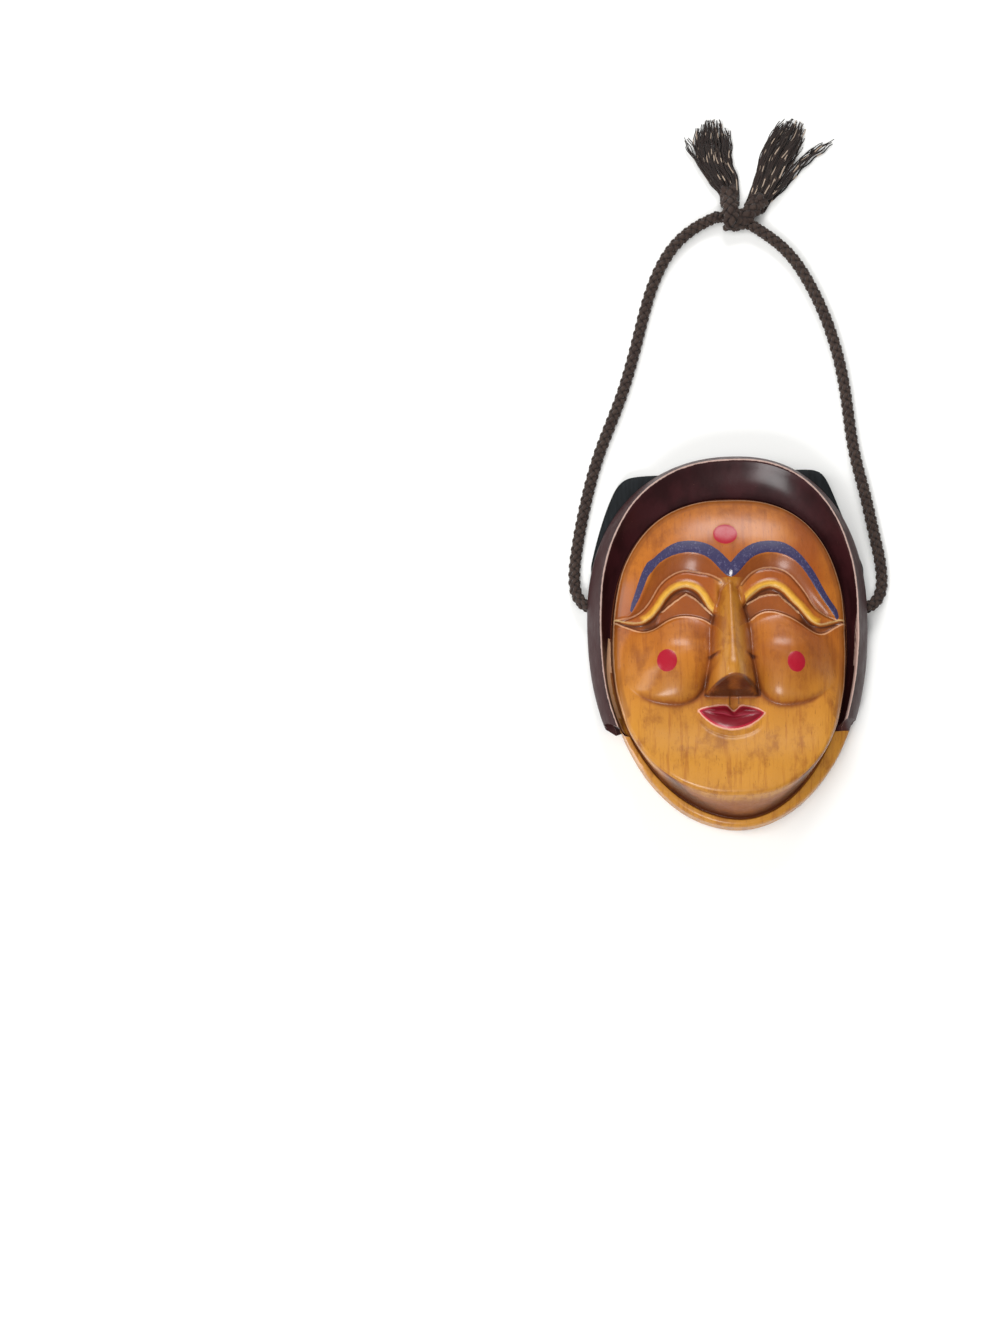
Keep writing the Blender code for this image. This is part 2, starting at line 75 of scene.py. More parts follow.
# Outlines seen from the front: left and right half width, top, bottom, centre above and below the
# widest line, height of the widest line, roundness above and below it
PLATE = (46.4, 46.8, 55.8, -67.2, 2.4, 3.2, -4.0, 2.4, 2.35)
GROOVE = (46.8, 47.3, 56.3, -72.6, 2.4, 4.5, -4.0, 2.4, 1.92)
JAW = (48.9, 54.4, 60.0, -76.5, 2.4, 3.3, -3.7, 2.4, 1.97)
CREST = (51.4, 51.8, 71.6, -75.0, 3.9, 2.0, 3.8, 2.37, 2.13)
HOOD = (56.6, 56.6, 76.5, -75.0, 4.8, 2.0, 8.8, 2.2, 2.24)
HOLLOW = (45.0, 45.0, 62.0, -64.0, 2.0, 3.0, 0.0, 2.2, 2.1)
CENTRE = (0.6, -4.0)

# Unevenness of the outlines that were cut by hand: its size and its seed
WAVER = dict(plate=(0.22, 3), crest=(0.20, 5), jaw=(0.15, 7))

# The hair's straight edges, their direction in degrees and distance, and how sharp its corners are. The
# two cuts that end the hood: a point on each, its slope, half of its width and how far it may lean.
HAIR_EDGES = ((154.0, 71.2), (169.0, 61.5), (92.5, 74.8), (21.0, 64.1))
HAIR_CORNER = 28.0
CUT_LEFT = (-47.6, -37.0, -0.40)
CUT_RIGHT = (50.0, -34.4, 0.25)
CUT_HALF = math.radians(0.6)
CUT_LEAN = math.radians(6.0)

# Heights above the back
CREST_TOP, CREST_END, CREST_FOOT = 23.0, 20.0, 16.5
HOOD_EDGE, HOOD_BACK = 9.8, 7.4
HAIR_TOP = 6.4
JAW_TOP = 10.4
FOREHEAD = ((-80, 25.0), (-20, 26.0), (8, 28.0), (24, 30.5), (36, 30.5), (48, 29.2), (60, 27.2))
LOWER_FACE = ((-80, 27.5), (-66, 30.4), (-56, 31.2), (-47, 29.6), (-38, 27.6), (-26, 26.6), (-8, 25.6),
              (10, 25.4), (28, 25.6), (60, 25.0))
EDGE_FALL = 8.0

# How far under the face its paint reaches, and the distance that stands for out of a line's reach
PAINT_DEEP, FAR_OFF = 5.0, 30.0

# Brow line from the left end over both arches to the right end
BROW = ((-52.0, 6.5), (-42.9, 5.6), (-38.6, 8.6), (-35.4, 13.6), (-32.6, 20.6), (-29.6, 26.2),
        (-24.2, 30.2), (-15.8, 32.0), (-7.4, 28.8), (0.6, 21.8), (8.2, 29.0), (17.2, 32.0),
        (25.6, 29.4), (30.2, 24.8), (34.0, 19.0), (38.0, 13.0), (41.8, 8.2), (45.0, 4.6), (54.0, 5.0))
BROW_WIDE = 4.8

# Eyes, left then right, from the nose outwards: fold over the lid, lid edge, top of the eyeball and the
# top edge of the cheek
FOLD_LEFT = ((-1.5, 19.0), (-3.4, 20.5), (-8.1, 23.1), (-12.8, 24.3), (-17.2, 25.0), (-24.1, 22.4),
             (-27.8, 18.9), (-30.3, 14.8), (-33.1, 10.6), (-36.2, 7.8), (-40.0, 6.2), (-46.0, 5.8))
FOLD_RIGHT = ((2.8, 17.0), (4.2, 18.4), (7.6, 22.4), (12.2, 25.5), (18.2, 26.1), (23.3, 24.2),
              (28.1, 19.3), (31.2, 15.1), (33.6, 11.2), (37.6, 7.9), (42.3, 6.1), (47.0, 5.4))
LID_LEFT = ((-4.6, 6.0), (-8.4, 9.1), (-10.3, 12.3), (-13.4, 16.4), (-17.5, 17.9), (-21.2, 16.9),
            (-24.7, 13.9), (-27.6, 9.6), (-32.2, 4.8), (-35.6, 3.5), (-39.4, 3.7), (-46.0, 5.4))
LID_RIGHT = ((4.0, 8.0), (6.4, 11.5), (10.6, 15.7), (16.9, 18.3), (20.6, 16.8), (24.8, 12.5),
             (28.4, 8.9), (32.0, 4.8), (36.0, 2.9), (39.2, 3.4), (42.3, 4.6), (48.0, 5.6))
LENS_LEFT = ((-7.6, 8.0), (-8.7, 9.1), (-13.4, 13.9), (-17.2, 16.1), (-22.2, 12.6), (-27.2, 8.5))
LENS_RIGHT = ((7.0, 11.6), (12.2, 14.9), (15.7, 15.8), (20.0, 15.8), (22.0, 13.9), (28.1, 8.4))
CHEEK_LEFT = ((-4.4, -1.0), (-8.4, 3.8), (-13.0, 5.7), (-19.7, 6.2), (-26.0, 3.9), (-31.0, 0.9),
              (-34.7, 0.4), (-39.0, 1.8), (-46.0, 5.2))
CHEEK_RIGHT = ((4.8, 1.0), (8.0, 4.2), (10.6, 6.5), (14.4, 8.2), (20.1, 7.7), (26.4, 5.0),
               (32.8, 0.8), (36.0, -0.4), (39.2, 0.5), (42.3, 2.7), (48.0, 5.4))
LID_RISE, GOLD_RISE, GOLD_WIDE = 1.2, 0.55, 3.3
SOCKET_DEPTH, LENS_RISE = 1.6, 1.0

# Cheek balls: centre, reach towards the nose, towards the ear, upwards and downwards
BALL_LEFT = (-21.5, -12.0, 13.6, 22.5, 19.0, 17.8)
BALL_RIGHT = (21.5, -11.5, 12.4, 22.5, 19.0, 18.2)
BALL_RISE = 7.6

# Nose: where the ridge starts, the tip, the foot of the underside, the top of its arch, and half widths
NOSE_TOP, NOSE_TIP, NOSE_FOOT = (0.2, 21.0, 27.0), (0.4, -19.0, 46.3), (1.0, -26.2, 28.0)
NOSE_ARCH = (-20.8, 2.5, 0.035)
NOSE_BASE = ((-40, 11.8), (-27, 11.5), (-18, 11.0), (-9, 10.1), (3.5, 8.1), (11.7, 5.8), (18.2, 3.9),
             (21, 2.9), (30, 1.2))
NOSE_RIDGE = ((-40, 2.4), (-20, 2.2), (-10, 1.5), (3, 1.1), (21, 0.7), (30, 0.4))
NOSTRILS = ((-6.6, -11.0, 0.30), (8.3, -10.8, -0.30))

# Mouth: corners, heights of the bows and the lower lip, the dip between the bows, and the chin crease
MOUTH_LEFT, MOUTH_RIGHT = (-12.6, -32.6), (13.4, -33.6)
MOUTH_TOP, MOUTH_BOTTOM, LIP_RISE = -30.4, -40.2, 1.9
LIP_DIP = (1.2, 1.9, 2.6)
PHILTRUM = (1.5, -26.0, -31.8, 1.8)
CHIN_CREASE = ((-13.0, -35.4), (-11.3, -37.5), (-6.9, -40.9), (-1.3, -42.7), (4.2, -42.5), (9.7, -40.4),
               (13.6, -36.8))

# Painted dots: centre and half sizes
DOTS = ((-1.5, 39.5, 4.85, 4.3), (-25.4, -13.3, 4.0, 4.65), (26.1, -13.7, 3.6, 4.3))
DOT_RISE = 0.18

# Holes for the cord
HOLE_Y, HOLE_Z, HOLE_DIAMETER = 14.5, 5.5, 8.0

# Squares along each side of the face, how much closer they lie towards the nose, rings in the hollow
CELLS, CLOSER, HOLLOW_RINGS = 200, 0.3, 16


# Smooth curves and steps

def spline(at, points):
    """Heights at the places given, on the natural cubic curve through (place, height) points."""
    xs, ys = (np.array(c, float) for c in zip(*points))
    n, h = len(xs), np.diff(xs)
    a, b = np.eye(n), np.zeros(n)
    for i in range(1, n - 1):
        a[i, i - 1:i + 2] = h[i - 1], 2 * (h[i - 1] + h[i]), h[i]
        b[i] = 6 * ((ys[i + 1] - ys[i]) / h[i] - (ys[i] - ys[i - 1]) / h[i - 1])
    m = np.linalg.solve(a, b)
    at = np.clip(at, xs[0], xs[-1])
    i = np.clip(np.searchsorted(xs, at) - 1, 0, n - 2)
    p, q, w = xs[i + 1] - at, at - xs[i], h[i]
    return ((m[i] * p ** 3 + m[i + 1] * q ** 3) / (6 * w)
            + (ys[i] / w - m[i] * w / 6) * p + (ys[i + 1] / w - m[i + 1] * w / 6) * q)


def through(points, count):
    """Evenly spaced points on a smooth curve through the route's points."""
    pts = np.array(points, float)
    run = np.append(0.0, np.cumsum(np.linalg.norm(np.diff(pts, axis=0), axis=1)))
    fine = np.linspace(0.0, run[-1], 40 * len(pts))
    line = np.stack([spline(fine, list(zip(run, c))) for c in pts.T], axis=1)
    far = np.append(0.0, np.cumsum(np.linalg.norm(np.diff(line, axis=0), axis=1)))
    even = np.linspace(0.0, far[-1], count)
    return np.stack([np.interp(even, far, c) for c in line.T], axis=1)


def step(value, start, end):
    """0 before start, 1 after end, and a smooth ramp between them."""
    t = np.clip((value - start) / (end - start), 0.0, 1.0)
    return t * t * (3.0 - 2.0 * t)


def smooth_max(a, b, blend):
    h = np.clip(0.5 + 0.5 * (a - b) / blend, 0.0, 1.0)
    return b + (a - b) * h + blend * h * (1.0 - h)


def beside(x, y, path):
    """Distance from each point to the path, positive on the left of its direction."""
    best, side = np.full(x.shape, 1e9), np.ones(x.shape)
    for (ax, ay), (bx, by) in zip(path[:-1], path[1:]):
        dx, dy = bx - ax, by - ay
        t = np.clip(((x - ax) * dx + (y - ay) * dy) / (dx * dx + dy * dy), 0.0, 1.0)
        ex, ey = x - ax - t * dx, y - ay - t * dy
        d = np.hypot(ex, ey)
        near = d < best
        best = np.where(near, d, best)
        side = np.where(near, np.where(dx * ey - dy * ex >= 0, 1.0, -1.0), side)
    return best * side


def waver(at, size, seed):
    """A slow unevenness along an outline that was cut by hand."""
    rng = np.random.default_rng(seed)
    waves = (rng.uniform(0.4, 1.0) / n * np.sin(n * at * 3 + rng.uniform(0, 6.3)) for n in range(2, 9))
    return size * sum(waves)


# Outlines

def egg(shape):
    """Radius of an egg-shaped outline in any direction from the mask's centre."""
    left, right, top, bottom, x_up, x_down, widest, n_up, n_down = shape
    a = np.linspace(-np.pi, np.pi, 1441)
    c, s = np.cos(a), np.sin(a)
    n = np.where(s >= 0, n_up, n_down)
    mid = np.where(s >= 0, x_up, x_down)
    half = np.where(c >= 0, right - mid, left + mid)
    tall = np.where(s >= 0, top - widest, widest - bottom)
    x = mid + half * np.sign(c) * np.abs(c) ** (2 / n) - CENTRE[0]
    y = widest + tall * np.sign(s) * np.abs(s) ** (2 / n) - CENTRE[1]
    angle, radius = np.arctan2(y, x), np.hypot(x, y)
    order = np.argsort(angle)
    return lambda at: np.interp(at, angle[order], radius[order], period=2 * np.pi)


OUTLINE = {name: egg(shape) for name, shape in dict(
    plate=PLATE, groove=GROOVE, jaw=JAW, crest=CREST, hood=HOOD, hollow=HOLLOW).items()}


def cut_outline(name, at):
    """Radius of an outline with the unevenness of its cut."""
    return OUTLINE[name](at) + waver(at, *WAVER[name])


def hair_radius(at):
    """Outline of the hair, a block with straight edges that shows past the hood at both upper corners."""
    total = sum(np.clip(np.cos(at - math.radians(degrees)) / far, 0.0, None) ** HAIR_CORNER
                for degrees, far in HAIR_EDGES)
    block = np.clip(total, 1e-90, None) ** (-1 / HAIR_CORNER) - 6.0 * step(-np.sin(at), -0.56, -0.36)
    return np.maximum(OUTLINE["hood"](at) - 0.6, np.where(np.sin(at) > 0.3, block, 0.0))


# The carved face

EYES = ((-1, FOLD_LEFT, LID_LEFT, LENS_LEFT, CHEEK_LEFT, BALL_LEFT),
        (1, FOLD_RIGHT, LID_RIGHT, LENS_RIGHT, CHEEK_RIGHT, BALL_RIGHT))
BROW_LINE = through(BROW, 160)
EYE_LINES = [[through(path, 60) for path in (fold, lid, cheek)] for _, fold, lid, _, cheek, _ in EYES]


def across_eye(x, y, eye, lines):
    """Distances above the fold, the lid edge, the eyeball's top and the cheek's top edge of one eye."""
    side, lens = eye[0], eye[3]
    fold, lid, cheek = lines
    return [side * beside(x, y, path) for path in (fold, lid, lens, cheek)]


def brow_stripe(x, above):
    """Distance into the painted brow from its edges, negative outside. The stripe thins outwards."""
    out = np.abs(x - CENTRE[0])
    wide = BROW_WIDE - 1.9 * step(out, 20.0, 32.0) - 0.7 * step(out, 32.0, 42.0)
    clear = 0.8 * step(-x, 30.0, 33.0) * step(x, -40.5, -37.0)
    ends = step(-x, 39.0, 41.5) + step(x, 43.5, 45.5)
    return np.minimum(above + 0.3 - clear, wide + clear - above) - 6.0 * ends


def ball_reach(x, y, sign, ball):
    """How far out of a cheek ball's middle, 1 at its edge, with the distances towards the ear and up."""
    cx, cy, inner, outer, up, down = ball
    across, along = sign * (x - cx), y - cy
    a = np.abs(across) / np.where(across > 0, outer, inner + 6.0 * step(along, -9.0, 6.0))
    b = np.abs(along) / np.where(along > 0, up, down)
    return (a ** 2.15 + b ** 2.15) ** (1 / 2.15), across, along


def ball_height(x, y, sign, ball):
    """One cheek ball: steep towards the nose and the mouth, easy towards the ear and the eye."""
    reach, across, along = ball_reach(x, y, sign, ball)
    easy = np.maximum(step(across, -2.0, 15.0) * step(along, -17.0, -6.0), step(along, -2.0, 12.0))
    return BALL_RISE * np.clip(1.0 - reach ** 2.0, 0.0, 1.0) ** (0.60 + 0.85 * easy)


def face_height(x, y):
    """Height of the front of the face plate above the back."""
    at = np.arctan2(y - CENTRE[1], x - CENTRE[0])
    out = np.hypot(x - CENTRE[0], y - CENTRE[1]) / OUTLINE["plate"](at)
    chin = step(-np.sin(at), 0.2, 0.8)
    fall = (EDGE_FALL - 7.0 * chin) * np.clip(out, 0.0, 1.05) ** (4.0 + 10.0 * chin)
    above = beside(x, y, BROW_LINE)
    lower = spline(y, LOWER_FACE) - fall
    wall = 8.0 - 5.4 * step(np.abs(x), 24.0, 42.0) - 2.5 * step(-np.abs(x), -5.0, -1.0)
    slope = np.clip(1.0 + above / wall, 0.0, 1.0) ** 1.5
    z = lower + (spline(y, FOREHEAD) - fall - lower) * slope
    for eye, lines in zip(EYES, EYE_LINES):
        sign = eye[0]
        over_fold, over_lid, over_lens, over_cheek = across_eye(x, y, eye, lines)
        here = step(sign * x, 2.5, 5.0)
        band = step(over_lid, -0.1, 0.5) * step(-over_fold, -0.3, 0.9) * here
        z = np.maximum(z, lower + LID_RISE * band - 2.0 * (1 - band))
        z = z - 0.40 * here * np.exp(-(over_fold / 0.55) ** 2)
        gold = np.clip(over_lid / GOLD_WIDE, 0.0, 1.0)
        fade = step(-sign * x, -36.0, -30.0) * here
        z = z + GOLD_RISE * fade * np.sqrt(np.clip(4 * gold * (1 - gold), 0.0, 1.0)) * (over_fold < 0)
        socket = step(-over_lid, 0.0, 0.7) * step(over_cheek, 0.0, 0.9) * here
        lens = step(-over_lens, 0.0, 0.7) * step(-sign * x, -30.0, -27.0) * step(sign * x, 5.5, 8.0)
        slant = 1.0 - 0.5 * np.clip(-over_lens / 8.0, 0.0, 1.0)
        z = z - socket * (SOCKET_DEPTH - LENS_RISE * lens * slant - 0.9 * step(sign * x, 31.0, 36.0))
        z = z + ball_height(x, y, sign, eye[5]) * step(-over_cheek, -0.2, 1.4)
    z = mouth_height(x, y, z)
    z = smooth_max(z, nose_height(x, y), 1.5)
    for cx, cy, half_x, half_y in DOTS:
        q = np.hypot((x - cx) / half_x, (y - cy) / half_y)
        z = z + DOT_RISE * np.sqrt(np.clip(1.0 - q ** 6, 0.0, 1.0))
    return z


def soft_face(x, y):
    """The face averaged over one square of the grid, so that thin edges don't turn jagged."""
    far = 0.22
    near = ((0.0, 0.0), (far, far), (far, -far), (-far, far), (-far, -far))
    return sum(face_height(x + a, y + b) for a, b in near) / len(near)


def nostril_marks(x, y):
    """The short cut over each nostril, sharp above and soft below."""
    marks = 0.0
    for cx, cy, tilt in NOSTRILS:
        u = (x - cx) * math.cos(tilt) + (y - cy) * math.sin(tilt)
        w = (y - cy) * math.cos(tilt) - (x - cx) * math.sin(tilt)
        marks = marks + np.exp(-(u / 2.4) ** 2 - (w / np.where(w > 0, 0.5, 1.4)) ** 2)
    return marks


def nose_arch(x):
    """Height on the face of the arched edge where the nose is cut away underneath."""
    top, middle, bend = NOSE_ARCH
    return np.maximum(top - bend * (x - middle) ** 2, NOSE_FOOT[1] + 0.5)


def nose_height(x, y):
    """The nose alone: a narrow ridge, facets that steepen into side walls, cut away underneath."""
    (x0, y0, z0), (x1, y1, z1), (_, y2, z2) = NOSE_TOP, NOSE_TIP, NOSE_FOOT
    along = (y0 - y) / (y0 - y1)
    off = np.abs(x - x0 - (x1 - x0) * np.clip(along, 0.0, 1.4))
    top = z0 + (z1 - z0) * along - 40.0 * np.clip(-along, 0.0, None)
    top = top - 1.3 * np.clip((y1 + 4.5 - y) / 4.5, 0.0, 2.0) ** 2
    ridge, base = spline(y, NOSE_RIDGE), spline(y, NOSE_BASE)
    facet = np.clip((off - ridge) / (base - ridge), 0.0, 1.6)
    z = top - 0.35 * (np.minimum(off, ridge) / ridge) ** 2
    z = z - np.clip(top - 22.0, 5.0, None) * (0.42 * facet + 0.58 * facet ** 3.2) - 0.9 * nostril_marks(x, y)
    under = z2 + (z1 - z2) * (y - y2) / (nose_arch(x) - y2)
    return -smooth_max(-z, -under, 0.9)


def mouth_shape(x, y):
    """Distance into the lips from their outline, negative outside, and distance above the parting."""
    (xl, yl), (xr, yr) = MOUTH_LEFT, MOUTH_RIGHT
    u = (2 * x - xl - xr) / (xr - xl)
    level = yl + (yr - yl) * (u + 1) / 2
    room = np.clip(1 - u * u, 0.0, None)
    dip_x, dip_half, dip_deep = LIP_DIP
    dip = dip_deep * np.exp(-((x - dip_x) / dip_half) ** 2)
    top = level + (MOUTH_TOP - level) * room ** 0.7 - dip
    bottom = level + (MOUTH_BOTTOM - level) * room ** 0.85
    parting = level - 1.1 * room - 0.9 * np.exp(-((x - dip_x) / 3.0) ** 2)
    ends = (1 - np.abs(u)) * (xr - xl) / 2
    return np.minimum(np.minimum(top - y, y - bottom), ends), y - parting


def mouth_height(x, y, skin):
    """The lips, a little proud of the skin, with their parting, the groove above and the crease below."""
    inside, above = mouth_shape(x, y)
    lips = np.sqrt(np.clip(inside / 2.6, 0.0, 1.0))
    z = skin + LIP_RISE * lips - 0.55 * lips * np.exp(-(above / 0.5) ** 2)
    z = z - 0.35 * np.exp(-((inside + 0.45) / 0.35) ** 2)
    px, top, bottom, half = PHILTRUM
    ends = step(y, bottom - 1.0, bottom + 0.6) * step(-y, -top - 1.0, -top)
    z = z - 0.5 * ends * step(-np.abs(x - px), -half - 0.3, -half + 0.3)
    crease = beside(x, y, CHIN_CREASE_LINE)
    fade = step(x, -13.5, -10.0) * step(-x, -14.0, -10.5)
    return z - fade * (0.5 * np.exp(-(crease / 0.7) ** 2) - 0.4 * np.exp(-((crease - 1.7) / 0.8) ** 2))


CHIN_CREASE_LINE = through(CHIN_CREASE, 50)


def hollow_height(x, y):
    """Height of the carved inside of the back, a shallow bowl with room under the nose."""
    at = np.arctan2(y - CENTRE[1], x - CENTRE[0])
    out = np.hypot(x - CENTRE[0], y - CENTRE[1]) / (OUTLINE["hollow"](at) - 1.0)
    bowl = 15.5 * np.sqrt(np.clip(1.0 - np.clip(out, 0.0, 1.0) ** 3.0, 0.0, 1.0))
    nose = 8.0 * np.exp(-((x - CENTRE[0]) / 9.0) ** 2 - ((y + 13.0) / 12.0) ** 2)
    gouges = 0.18 * np.sin(x * 0.9 + 1.3 * np.sin(y * 0.21)) * np.sin(y * 0.35 + 0.4 * x)
    return 1.0 + bowl + nose + gouges * np.clip(1.0 - out, 0.0, 1.0)


# The carved block

FACE, HOODED, HAIRY, BACK = range(4)


def ring_profile(at):
    """Rings from the edge of the plate outwards. Each has how far out and how high it lies beside the hood
    and beside the jaw below it, and the finish of both stretches that end there."""
    up = step(np.sin(at), -0.55, 0.9)
    left = step(-np.cos(at), 0.45, 0.8) * step(-np.sin(at), -0.15, 0.30)
    foot = 9.0 + 6.5 * up
    crest = CREST_END + (CREST_TOP - CREST_END) * step(np.sin(at), -0.5, 0.3)
    plate, jaw, edge = (cut_outline(k, at) for k in ("plate", "jaw", "crest"))
    groove, hood, hollow = (OUTLINE[k](at) for k in ("groove", "hood", "hollow"))
    hair = hair_radius(at)
    lip = face_height(CENTRE[0] + plate * np.cos(at), CENTRE[1] + plate * np.sin(at))
    both = [(plate - 0.6, lip - 0.2), (plate, lip - 1.0), (plate + 0.3, lip - 2.6), (groove, foot + 0.6),
            (groove + 0.5, foot)]
    rings = [(r, z, r, z, FACE, FACE) for r, z in both]
    ledge, rim = groove + 0.9 + 1.8 * left, groove + 1.3
    bare = np.where(left > 0.06, FACE, HOODED)
    hairy = np.where(np.sin(at) > 0.1, HAIRY, HOODED)
    for s in (0.0, 0.06, 0.4, 0.75, 1.0):
        rings.append((ledge + (edge - ledge) * s, foot + 0.7 + (crest - foot - 0.7) * s ** 1.5,
                      rim + (jaw - rim) * s, JAW_TOP - 1.8 * s ** 4, HOODED if s > 0.06 else bare, FACE))
    rings += [(edge + 0.5, crest - 0.6, jaw, JAW_TOP - 2.6, HOODED, FACE),
              (edge + (hood - edge) * 0.6, 15.5, jaw, 7.0, HOODED, FACE),
              (hood, HOOD_EDGE, jaw, 6.4, HOODED, FACE), (hood, HOOD_BACK, jaw, 5.4, HOODED, FACE),
              (hood - 1.0, HOOD_BACK - 0.6, jaw, 4.6, hairy, FACE),
              (hair - 0.9, HAIR_TOP, jaw, 3.8, hairy, FACE), (hair, HAIR_TOP - 1.0, jaw, 3.0, hairy, FACE),
              (hair, 0.8, jaw, 0.8, hairy, FACE), (hair - 0.8, 0.0, jaw - 0.8, 0.0, hairy, FACE)]
    rings += [(hollow, 0.0, hollow, 0.0, BACK, BACK), (hollow - 1.0, 1.0, hollow - 1.0, 1.0, BACK, BACK)]
    return [tuple(np.broadcast_to(c, at.shape) for c in ring) for ring in rings]


def rounded(rings):
    """The same rings with every corner of the profile cut once. A ring keeps the finish that ends there."""
    cut = [rings[0]]
    for a, b in zip(rings[:-1], rings[1:]):
        cut.append(tuple(0.75 * p + 0.25 * q for p, q in zip(a[:4], b[:4])) + a[4:])
        cut.append(tuple(0.25 * p + 0.75 * q for p, q in zip(a[:4], b[:4])) + b[4:])
    return cut + [rings[-1]]


def turn(at, by):
    """Difference between two directions, from -pi to pi."""
    return (at - by + math.pi) % (2 * math.pi) - math.pi


def on_cut(radius, cut):
    """Direction in which the end of the hood lies at this distance from the centre."""
    cx, cy, slope = cut
    tilt = math.atan(slope)
    away = (cy - CENTRE[1] - slope * (cx - CENTRE[0])) * math.cos(tilt)
    lean = math.asin(max(-0.99, min(0.99, away / radius)))
    return tilt + lean if cx > CENTRE[0] else tilt + math.pi - lean


def polar(v):
    return math.atan2(v.co.y, v.co.x), math.hypot(v.co.x, v.co.y)


def press_disc(bm):
    """A square grid pressed into a disc: its vertices, and those on its edge in order of direction."""
    verts = bmesh.ops.create_grid(bm, x_segments=CELLS, y_segments=CELLS, size=1.0)["verts"]
    for v in verts:
        u, w = (c * (1 - CLOSER + CLOSER * c * c) for c in v.co.xy)
        v.co.x, v.co.y = u * math.sqrt(1 - w * w / 2), w * math.sqrt(1 - u * u / 2)
    rim = [v for v in verts if v.is_boundary]
    return verts, sorted(rim, key=polar)


def lay_disc(verts, bend):
    """Spreads the disc's vertices under the plate's outline and lifts them to the face."""
    at, far = np.array([polar(v) for v in verts]).T
    at = at + bend(at) * far ** 6
    r = far * (OUTLINE["plate"](at) - 1.2 + waver(at, *WAVER["plate"]) * far ** 8)
    x, y = CENTRE[0] + r * np.cos(at), CENTRE[1] + r * np.sin(at)
    for v, p in zip(verts, np.stack([x, y, soft_face(x, y)], axis=1)):
        v.co = p


def add_ring(bm, open_edge, order, ring, finish, sharp=()):
    """Extrudes the open edge once, lays its new vertices on the ring and gives the new faces their
    finish. The lines that run out through the sharp places keep a hard edge."""
    old = {v.co.copy().freeze(): i for v, i in order.items()}
    made = bmesh.ops.extrude_edge_only(bm, edges=open_edge)["geom"]
    order = {v: old[v.co.copy().freeze()] for v in made if isinstance(v, bmesh.types.BMVert)}
    for face in (f for f in made if isinstance(f, bmesh.types.BMFace)):
        face.material_index = int(max(finish[order[v]] for v in face.verts if v in order))
    for v, i in order.items():
        v.co = ring[i]
        for edge in v.link_edges:
            edge.smooth = edge.is_boundary or i not in sharp
    return [e for e in made if isinstance(e, bmesh.types.BMEdge)], order


def mask_body():
    """The front disc, the rings round it down to the back, and the hollow that closes them."""
    bm = bmesh.new()
    front, edge = press_disc(bm)
    raw = np.array([polar(v)[0] for v in edge])
    ends = [on_cut(OUTLINE["crest"](a), cut) for cut, a in ((CUT_LEFT, -2.5), (CUT_RIGHT, -0.6))]
    lines, sharp = raw.copy(), set()
    for end in ends:
        near = np.argsort(np.abs(turn(raw, end)))[:2]
        first, second = sorted(near, key=lambda i: turn(raw[i], end))
        lines[first], lines[second] = end - CUT_HALF, end + CUT_HALF
        sharp |= {first, second}
    on_hood = (turn(lines, ends[0]) < 0) | (turn(lines, ends[1]) > 0)
    lay_disc(front, lambda at: np.interp(at, raw, turn(lines, raw), period=2 * math.pi))
    open_edge = [e for e in bm.edges if e.is_boundary]
    order = {v: i for i, v in enumerate(edge)}
    straight = rounded(ring_profile(lines))
    for k, level in enumerate(straight):
        at = lines.copy()
        for cut, end in zip((CUT_LEFT, CUT_RIGHT), ends):
            radius = level[0][np.argmin(np.abs(turn(lines, end)))]
            lean = max(-CUT_LEAN, min(CUT_LEAN, turn(on_cut(radius, cut), end)))
            if k < len(straight) - 4:
                at += lean * np.clip(1 - np.abs(turn(lines, end)) / 0.5, 0.0, 1.0)
        hood_r, hood_z, jaw_r, jaw_z, hood_finish, jaw_finish = rounded(ring_profile(at))[k]
        r, z = np.where(on_hood, hood_r, jaw_r), np.where(on_hood, hood_z, jaw_z)
        finish = np.where(on_hood, hood_finish, jaw_finish)
        ring = np.stack([CENTRE[0] + r * np.cos(at), CENTRE[1] + r * np.sin(at), z], axis=1)
        open_edge, order = add_ring(bm, open_edge, order, ring, finish, sharp)
    last = OUTLINE["hollow"](lines) - 1.0
    for n in range(1, HOLLOW_RINGS + 1):
        r = last * (1 - n / HOLLOW_RINGS) ** 0.8
        x, y = CENTRE[0] + r * np.cos(lines), CENTRE[1] + r * np.sin(lines)
        ring = np.stack([x, y, hollow_height(x, y)], axis=1)
        open_edge, order = add_ring(bm, open_edge, order, ring, np.full(lines.shape, BACK))
    bmesh.ops.remove_doubles(bm, verts=bm.verts, dist=0.004)
    bmesh.ops.recalc_face_normals(bm, faces=bm.faces)
    return bm


# Objects

def to_object(name, bm, materials):
    """A smooth mesh object in metres from a bmesh in millimetres."""
    bmesh.ops.scale(bm, verts=bm.verts, vec=(MM, MM, MM))
    mesh = bpy.data.meshes.new(name)
    bm.to_mesh(mesh)
    bm.free()
    mesh.shade_smooth()
    for finish in materials:
        mesh.materials.append(finish)
    obj = bpy.data.objects.new(name, mesh)
    bpy.context.scene.collection.objects.link(obj)
    return obj


def set_attribute(mesh, name, values):
    layer = mesh.attributes.new(name, "FLOAT", "POINT")
    layer.data.foreach_set("value", np.asarray(values, np.float32))


